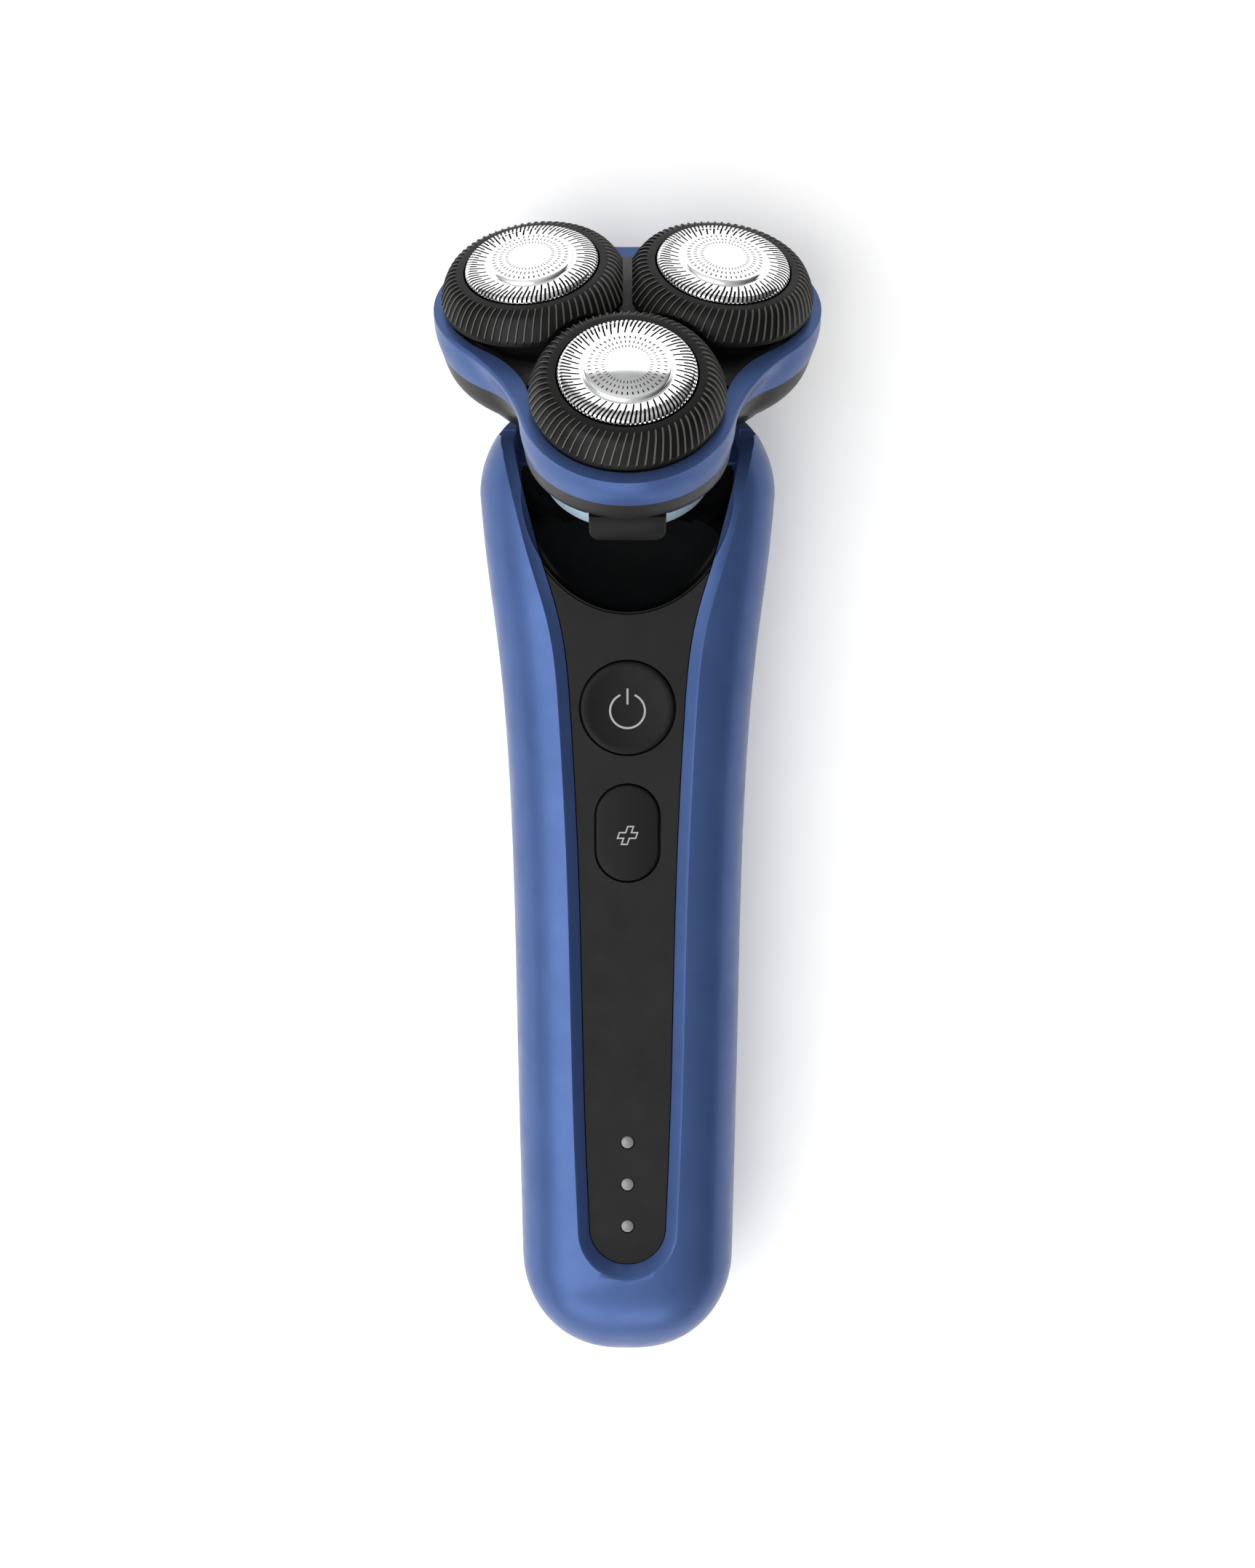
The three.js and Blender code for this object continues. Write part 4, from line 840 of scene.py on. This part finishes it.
def head_base():
    wall = BASE_WALL
    outside = loft(trefoil_rings(BASE_RINGS))
    hollow = [(z, spread, radius - wall, waist - wall) for z, spread, radius, waist in BASE_RINGS[1:]]
    hollow[0] = (BASE_BOTTOM + wall, *hollow[0][1:])
    hollow[-1] = (hollow[-1][0] + 1, *hollow[-1][1:])
    latch_block = common(box((-7.2, -28, 5), (7.2, -23.4, 12.8)), loft(trefoil_rings(BASE_RINGS)))
    shell = join(cut(outside, loft(trefoil_rings(hollow, 3))), latch_block)
    additions = [bar(2.4, 5, 8.2, x, y) for x, y in at_lobes(SPINDLE_SPREAD)]
    bore, sleeve = SLEEVE_RADII
    additions.append(bar(sleeve, -0.4, BASE_BOTTOM + 0.8, sides=96))
    additions += [box((-2, side * 8, -1.6), (2, side * sleeve, 1)) for side in (-1, 1)]
    for low, high in ((-4.8, -3), (3, 4.8)):
        additions.append(box((low, 18, HINGE_Z - 2.4), (high, HINGE_Y, HINGE_Z - 0.1)))
        additions.append(crossbar(HINGE_RADIUS, low, high, HINGE_Y, HINGE_Z))
    along_y = placed(bar(PIN_HOLE_RADIUS, -15, 15), Matrix.Rotation(math.pi / 2, 4, "X"))
    removals = [bar(1.8, 0, 10), bar(bore, -3, 3.4, sides=96), along_y]
    removals += [bar(1.4, 6.4, 12, x, y) for x, y in at_lobes(SPINDLE_SPREAD)]
    reach = LATCH_HALF_WIDTH + LATCH_ROOM
    removals.append(box((-reach, -34, 2), (reach, LATCH_Y[1] + 1, LATCH_Z[1] + LATCH_ROOM)))
    removals.append(crossbar(PIN_HOLE_RADIUS, -8, 8, HINGE_Y, HINGE_Z))
    removals.append(box((-2.8, 19.6, 8), (2.8, 30, 20)))
    return in_head(cut(join(shell, *additions), *removals))


def neck_trim():
    low, high = TRIM_Z
    plate = prism(trefoil(*TRIM_OUTLINE), low, high)
    radius, top = TRIM_LOBE_RADIUS, TRIM_LOBE_TOP
    lobe = turned([(0, low), (radius - 0.5, low), (radius - 0.1, low + 0.25), (radius, low + 0.6),
                   (radius, top - 0.4), (radius - 0.3, top), (0, top)], 128)
    base_room = [(z - 0.3, spread, size + 0.3, waist + 0.3) for z, spread, size, waist in BASE_RINGS]
    plate = join(plate, moved(lobe, (0, -TRIM_LOBE_SPREAD, 0)))
    sleeve_hole = bar(SLEEVE_RADII[1] + 0.4, 0, 8, sides=96)
    return in_head(cut(plate, loft(trefoil_rings(base_room)), sleeve_hole))


def release_latch():
    """The thumb latch: a rounded plate with softened edges."""
    low, high = LATCH_Z
    front, back = LATCH_Y
    corner_x, corner_z = LATCH_CORNER - LATCH_HALF_WIDTH, low + LATCH_CORNER
    left = [(-LATCH_HALF_WIDTH, high)]
    for k in range(13):
        turn = math.pi + math.pi / 2 * k / 12
        left.append((corner_x + LATCH_CORNER * math.cos(turn), corner_z + LATCH_CORNER * math.sin(turn)))
    outline = left + [(-x, y) for x, y in left[::-1]]
    steps = [(0, -back), (0, -front - 0.5), (-0.15, -front - 0.18), (-0.5, -front)]
    plate = loft([[(x, z, depth) for x, z in grown(outline, amount)] for amount, depth in steps])
    return in_head(placed(plate, Matrix.Rotation(math.pi / 2, 4, "X")))


def head_frame():
    crown = [*FRAME_RINGS[:-1], (20.75, 15.55, 15.45, 21.35), FRAME_RINGS[-1]]
    outside = loft(trefoil_rings(crown, 6))
    inside = prism(trefoil(*FRAME_INSIDE), 14, 25)
    seats = [placed(bar(SEAT_RADIUS, SEAT_FLOOR, 20, sides=144), cap_matrix(side)) for side in LOBE_ANGLES]
    ear = join(box((-2.5, 18.2, HINGE_Z + 0.8), (2.5, HINGE_Y, HINGE_Z + 2.2)),
               crossbar(HINGE_RADIUS, -2.5, 2.5, HINGE_Y, HINGE_Z))
    ear = in_head(cut(ear, prism(trefoil(*FRAME_INSIDE), 14, 25)))
    hole = in_head(crossbar(PIN_HOLE_RADIUS, -8, 8, HINGE_Y, HINGE_Z))
    return cut(join(cut(in_head(outside), in_head(inside), *seats), ear), hole)


piece("base_shell", head_base(), "head", BASE_BLACK, ["head_base"])
piece("neck_ring", neck_trim(), "head", CYAN, ["neck_trim"])
piece("thumb_latch", release_latch(), "latch", BUTTON_BLACK, ["release_latch"])
piece("crown_frame", head_frame(), "frame", BLUE, ["head_frame"])

# ---------------------------------------------------------------- caps and carriers

RIB_COUNT = 72
RIB_HEIGHT = 0.2
RIB_SWIRL = -math.radians(5)
RIB_SHARES = [-0.5, -0.12, -0.075, 0.075, 0.12]
RIB_SHARE_HEIGHTS = [0, 0, 1, 1, 0]
RIB_PAINTED_SHARE = 0.09
FLANK_RADIUS = 11.25
SLOT_COUNT = 90
SLOT_LEAN = -math.radians(6)
CAP_SHEET = 0.22
INNER_SLOT_HALF = 0.15
BETWEEN_SLOTS_HALF = 0.05
OUTER_SLOT_HALF = 0.2


def carrier_profile():
    """The outer profile from the top of the inner wall down the flank: (radius, height, ribbed)."""
    points = [(CARRIER_BORE, -0.95, 0), (10.9, -0.93, 0), (FLANK_RADIUS, -0.98, 0), (11.4, -1.03, 1)]
    for k in range(1, 7):
        share = k / 6
        bow = 0.35 * math.sin(math.pi * share)
        points.append((11.4 + 1.6 * share + 0.45 * bow, -1.03 - 1.35 * share + 0.5 * bow, 1))
    points += [(13.4, -3.1, 1), (13.75, -3.95, 1), (CARRIER_RADIUS - 0.05, -4.75, 1)]
    points += [(CARRIER_RADIUS, -4.95, 0), (CARRIER_RADIUS, -5.5, 0)]
    points += [(11.5, -5.5, 0), (11.5, -8.6, 0), (CARRIER_BORE, -8.6, 0)]
    return points


def rib_turn(radius):
    """How far a rib has swirled round the carrier at the given radius."""
    reach = min(max((radius - FLANK_RADIUS) / (CARRIER_RADIUS - FLANK_RADIUS), 0), 1)
    return RIB_SWIRL * reach ** 1.3


def cap_carrier(side):
    profile = carrier_profile()
    one_rib = list(zip(RIB_SHARES, RIB_SHARE_HEIGHTS))
    columns = [(rib + share, height) for rib in range(RIB_COUNT) for share, height in one_rib]
    vertices = []
    for radius, z, ribbed in profile:
        for position, height in columns:
            turn = 2 * math.pi * position / RIB_COUNT + rib_turn(radius)
            lift = RIB_HEIGHT * height * ribbed
            out = radius + lift * 0.5
            vertices.append((out * math.cos(turn), out * math.sin(turn), z + lift * 0.85))
    rows, count = len(profile), len(columns)
    faces = []
    for i in range(rows):
        for j in range(count):
            corners = [(i, j), (i + 1, j), (i + 1, j + 1), (i, j + 1)]
            faces.append([(a % rows) * count + b % count for a, b in corners])
    made = shape(vertices, faces)
    placed(made, HEAD.inverted() @ cap_matrix(side))
    trimmed = bmesh.new()
    trimmed.from_mesh(made.data)
    for turn in (-1, 1):
        away = LOBE_ANGLES[side] + turn * math.pi / 3
        across = Vector((-math.sin(away), math.cos(away), 0)) * turn
        geometry = trimmed.verts[:] + trimmed.edges[:] + trimmed.faces[:]
        result = bmesh.ops.bisect_plane(trimmed, geom=geometry, dist=1e-5, plane_co=across * -0.7,
                                        plane_no=across, clear_outer=True)
        rim = [item for item in result["geom_cut"] if isinstance(item, bmesh.types.BMEdge)]
        bmesh.ops.holes_fill(trimmed, edges=rim, sides=0)
    trimmed.to_mesh(made.data)
    trimmed.free()
    return in_head(made)


def paint_ribs(made, side):
    """Gives the rib crests of a carrier their lighter finish."""
    made.data.materials.append(RIB_TAUPE)
    back = cap_matrix(side).inverted()
    for face in made.data.polygons:
        centre = back @ (face.center / MM)
        radius = math.hypot(centre.x, centre.y)
        turn = math.atan2(centre.y, centre.x) - rib_turn(radius)
        position = (turn * RIB_COUNT / (2 * math.pi) + 0.5) % 1 - 0.5
        on_flank = 11.3 < radius < CARRIER_RADIUS + 0.02 and -4.9 < centre.z < -0.8
        if abs(position) < RIB_PAINTED_SHARE and on_flank:
            face.material_index = 1


CAP_DOME_RADIUS = 6.0
CAP_DOME_TOP = 0.9
CAP_DOME_BOW = 0.0105
SLOT_RING_STARTS = [3.2, 4.15, 5.15]
SLOT_RING_LENGTH = 0.5
LONG_SLOT_START = 6.85
SHORT_SLOT_START = 8.0
SLOT_END_Z = -0.85


def cap_rows():
    """The rings of a cap from its middle outward: (radius, height)."""
    slot_ends = [start + SLOT_RING_LENGTH for start in SLOT_RING_STARTS]
    radii = sorted([1.2, 2.4, *SLOT_RING_STARTS, *slot_ends, CAP_DOME_RADIUS])
    dome = [(radius, CAP_DOME_TOP - CAP_DOME_BOW * radius ** 2) for radius in radii]
    rim = [(6.2, 0.46), (6.33, 0.33), (6.4, 0.15), (6.45, 0.0), (6.6, -0.03)]
    ring = [(LONG_SLOT_START, -0.03), (7.5, -0.03), (SHORT_SLOT_START, -0.03), (8.7, -0.04), (9.2, -0.09)]
    edge = [(9.5, -0.2), (9.7, -0.33), (9.84, -0.55), (CAP_RADIUS, SLOT_END_Z), (CAP_RADIUS, -1.5)]
    return dome + rim + ring + edge + [(CAP_RADIUS, -4.2)]


def is_slotted(radius, z, long):
    """Whether a slot is open just outside the given ring of a cap."""
    in_ring = long and any(abs(radius - start) < 1e-6 for start in SLOT_RING_STARTS)
    start = LONG_SLOT_START if long else SHORT_SLOT_START
    return in_ring or (radius >= start and z > SLOT_END_Z)


def thickened(vertices, inner, faces):
    """A closed sheet between matching outer and inner points, walled where the faces end."""
    count = len(vertices)
    edges = {(a, b) for face in faces for a, b in zip(face, face[1:] + face[:1])}
    closed = list(faces)
    closed += [[corner + count for corner in reversed(face)] for face in faces]
    closed += [[b, a, a + count, b + count] for a, b in edges if (b, a) not in edges]
    made = shape(vertices + inner, closed)
    work = bmesh.new()
    work.from_mesh(made.data)
    loose = [vertex for vertex in work.verts if not vertex.link_faces]
    bmesh.ops.delete(work, geom=loose, context="VERTS")
    work.to_mesh(made.data)
    work.free()
    return made


def slot_row(radius, z):
    """The points on both sides of every slot at one radius of a cap."""
    lean = SLOT_LEAN * min(max((radius - 6.5) / (CAP_RADIUS - 6.5), 0), 1)
    points = []
    for k in range(SLOT_COUNT):
        middle = 2 * math.pi * k / SLOT_COUNT + lean
        half = INNER_SLOT_HALF if k % 2 == 0 else BETWEEN_SLOTS_HALF
        if radius > CAP_DOME_RADIUS:
            half = OUTER_SLOT_HALF
        half = min(half / radius, math.pi / SLOT_COUNT / 2)
        for turn in (middle - half, middle + half):
            points.append((radius * math.cos(turn), radius * math.sin(turn), z))
    return points


def shaving_cap(side):
    """A thin domed metal cap with three rings of small slots and a fringe of long and short ones."""
    rows = cap_rows()
    profile = np.array(rows)
    along = np.gradient(profile, axis=0)
    along /= np.linalg.norm(along, axis=1)[:, None]
    vertices, inner = [(0, 0, CAP_DOME_TOP)], [(0, 0, CAP_DOME_TOP - CAP_SHEET)]
    for (radius, z), (right, down) in zip(profile, along):
        vertices += slot_row(radius, z)
        under = (radius + down * CAP_SHEET, z - right * CAP_SHEET)
        inner += [(x * under[0] / radius, y * under[0] / radius, under[1]) for x, y, _ in slot_row(radius, z)]
    count = 2 * SLOT_COUNT
    faces = [[0, 1 + j, 1 + (j + 1) % count] for j in range(count)]
    for i, (radius, z) in enumerate(rows[:-1]):
        for j in range(count):
            pitch, beside = divmod(j, 2)
            if beside == 0 and is_slotted(radius, z, pitch % 2 == 0):
                continue
            corners = [(i, j), (i + 1, j), (i + 1, j + 1), (i, j + 1)]
            faces.append([1 + a * count + b % count for a, b in corners])
    return placed(thickened(vertices, inner, faces), cap_matrix(side))


for side in LOBE_ANGLES:
    body = f"cap_{side}"
    ring = piece(f"cap_ring_{side}", cap_carrier(side), body, CARRIER_BLACK,
                 [f"cap_carrier_{side}"], math.radians(28))
    paint_ribs(ring, side)
    piece(f"cap_foil_{side}", shaving_cap(side), body, CAP_METAL,
          [f"shaving_cap_{side}"], math.radians(40))

# ---------------------------------------------------------------- finishes of the carried-over nodes

NODE_FINISHES = {
    "black_plastic": PANEL_BLACK,
    "gloss_black": GLOSS_BLACK,
    "carrier_black": CARRIER_BLACK,
    "rear_rubber": RUBBER,
    "cyan_trim": CYAN,
    "grey_plastic": GREY,
    "white_plastic": WHITE,
    "cap_metal": CAP_METAL,
    "cutter_steel": SLOT_SHADE_CUTTER_STEEL,
    "steel": STEEL,
    "brass": BRASS,
    "cell_wrap": CELL_WRAP,
    "board_green": BOARD,
    "lamp_lens": LAMP,
    "blue_shell": BLUE,
}
for entry in frame["record"]["subparts"]:
    carried = CAD[entry["node"]]
    carried.data.materials.clear()
    carried.data.materials.append(NODE_FINISHES[entry["material_slot"]])

# ---------------------------------------------------------------- floor, light and camera

FLOOR_GLOW = 0.28


def floor():
    """A plain white floor with a faint glow, which keeps the shadows pale."""
    made = box((-2500, -2500, -20), (2500, 2500, 0))
    made.data.transform(Matrix.Scale(MM, 4))
    made.name = "floor"
    paint = surface("floor_white", (0.93, 0.93, 0.93), 0.8, 0, (0.004, 0.00001), 0.01)
    shader = paint.node_tree.nodes["Principled BSDF"]
    shader.inputs["Emission Color"].default_value = (1, 1, 1, 1)
    shader.inputs["Emission Strength"].default_value = FLOOR_GLOW
    made.data.materials.append(paint)


def area_light(name, place, target, size, power):
    light = bpy.data.lights.new(name, "AREA")
    light.shape = "RECTANGLE"
    light.size, light.size_y = size
    light.energy = power
    made = bpy.data.objects.new(name, light)
    made.location = place
    made.rotation_euler = (Vector(target) - Vector(place)).to_track_quat("-Z", "Y").to_euler()
    SCENE.collection.objects.link(made)


def world():
    """A pale studio that is dimmer near the horizon and toward the right."""
    made = bpy.data.worlds.new("studio")
    made.use_nodes = True
    tree = made.node_tree
    toward = tree.nodes.new("ShaderNodeSeparateXYZ")
    link(tree, tree.nodes.new("ShaderNodeTexCoord").outputs["Generated"], toward.inputs["Vector"])
    height = ramp(tree, toward.outputs["Z"], [(0.0, (0.30,) * 3), (0.10, (0.34,) * 3), (0.38, (0.76,) * 3)])
    side = node(tree, "ShaderNodeMapRange")
    for name, value in (("From Min", -0.1), ("From Max", 0.85), ("To Min", 1.0), ("To Max", 0.15)):
        side.inputs[name].default_value = value
    link(tree, toward.outputs["X"], side.inputs["Value"])
    background = tree.nodes["Background"]
    link(tree, height, background.inputs["Color"])
    link(tree, side.outputs["Result"], background.inputs["Strength"])
    SCENE.world = made


VIEW_POINT = Vector((0, 0, 29.5)) * MM
VIEW_TILT = math.radians(10)
VIEW_DISTANCE = 331.6 * MM


def camera():
    lens = bpy.data.cameras.new("camera")
    lens.lens = 50
    lens.sensor_width = 36
    lens.sensor_fit = "AUTO"
    lens.clip_start = 0.01
    made = bpy.data.objects.new("camera", lens)
    away = Vector((0, math.sin(VIEW_TILT), math.cos(VIEW_TILT)))
    made.location = VIEW_POINT + VIEW_DISTANCE * away
    made.rotation_euler = (-VIEW_TILT, 0, 0)
    SCENE.collection.objects.link(made)
    SCENE.camera = made


floor()
world()
area_light("key", (-0.45, -0.20, 0.75), (0, 0, 0.02), (0.9, 0.9), 5.6)
area_light("end_light", (-0.12, -0.72, 0.30), (0, -0.05, 0.02), (0.7, 0.3), 1.3)
area_light("head_glow", (0.0, 0.90, 0.070), (0, 0, 0.070), (0.8, 0.136), 0.44)
camera()
SCENE.view_settings.view_transform = "Standard"
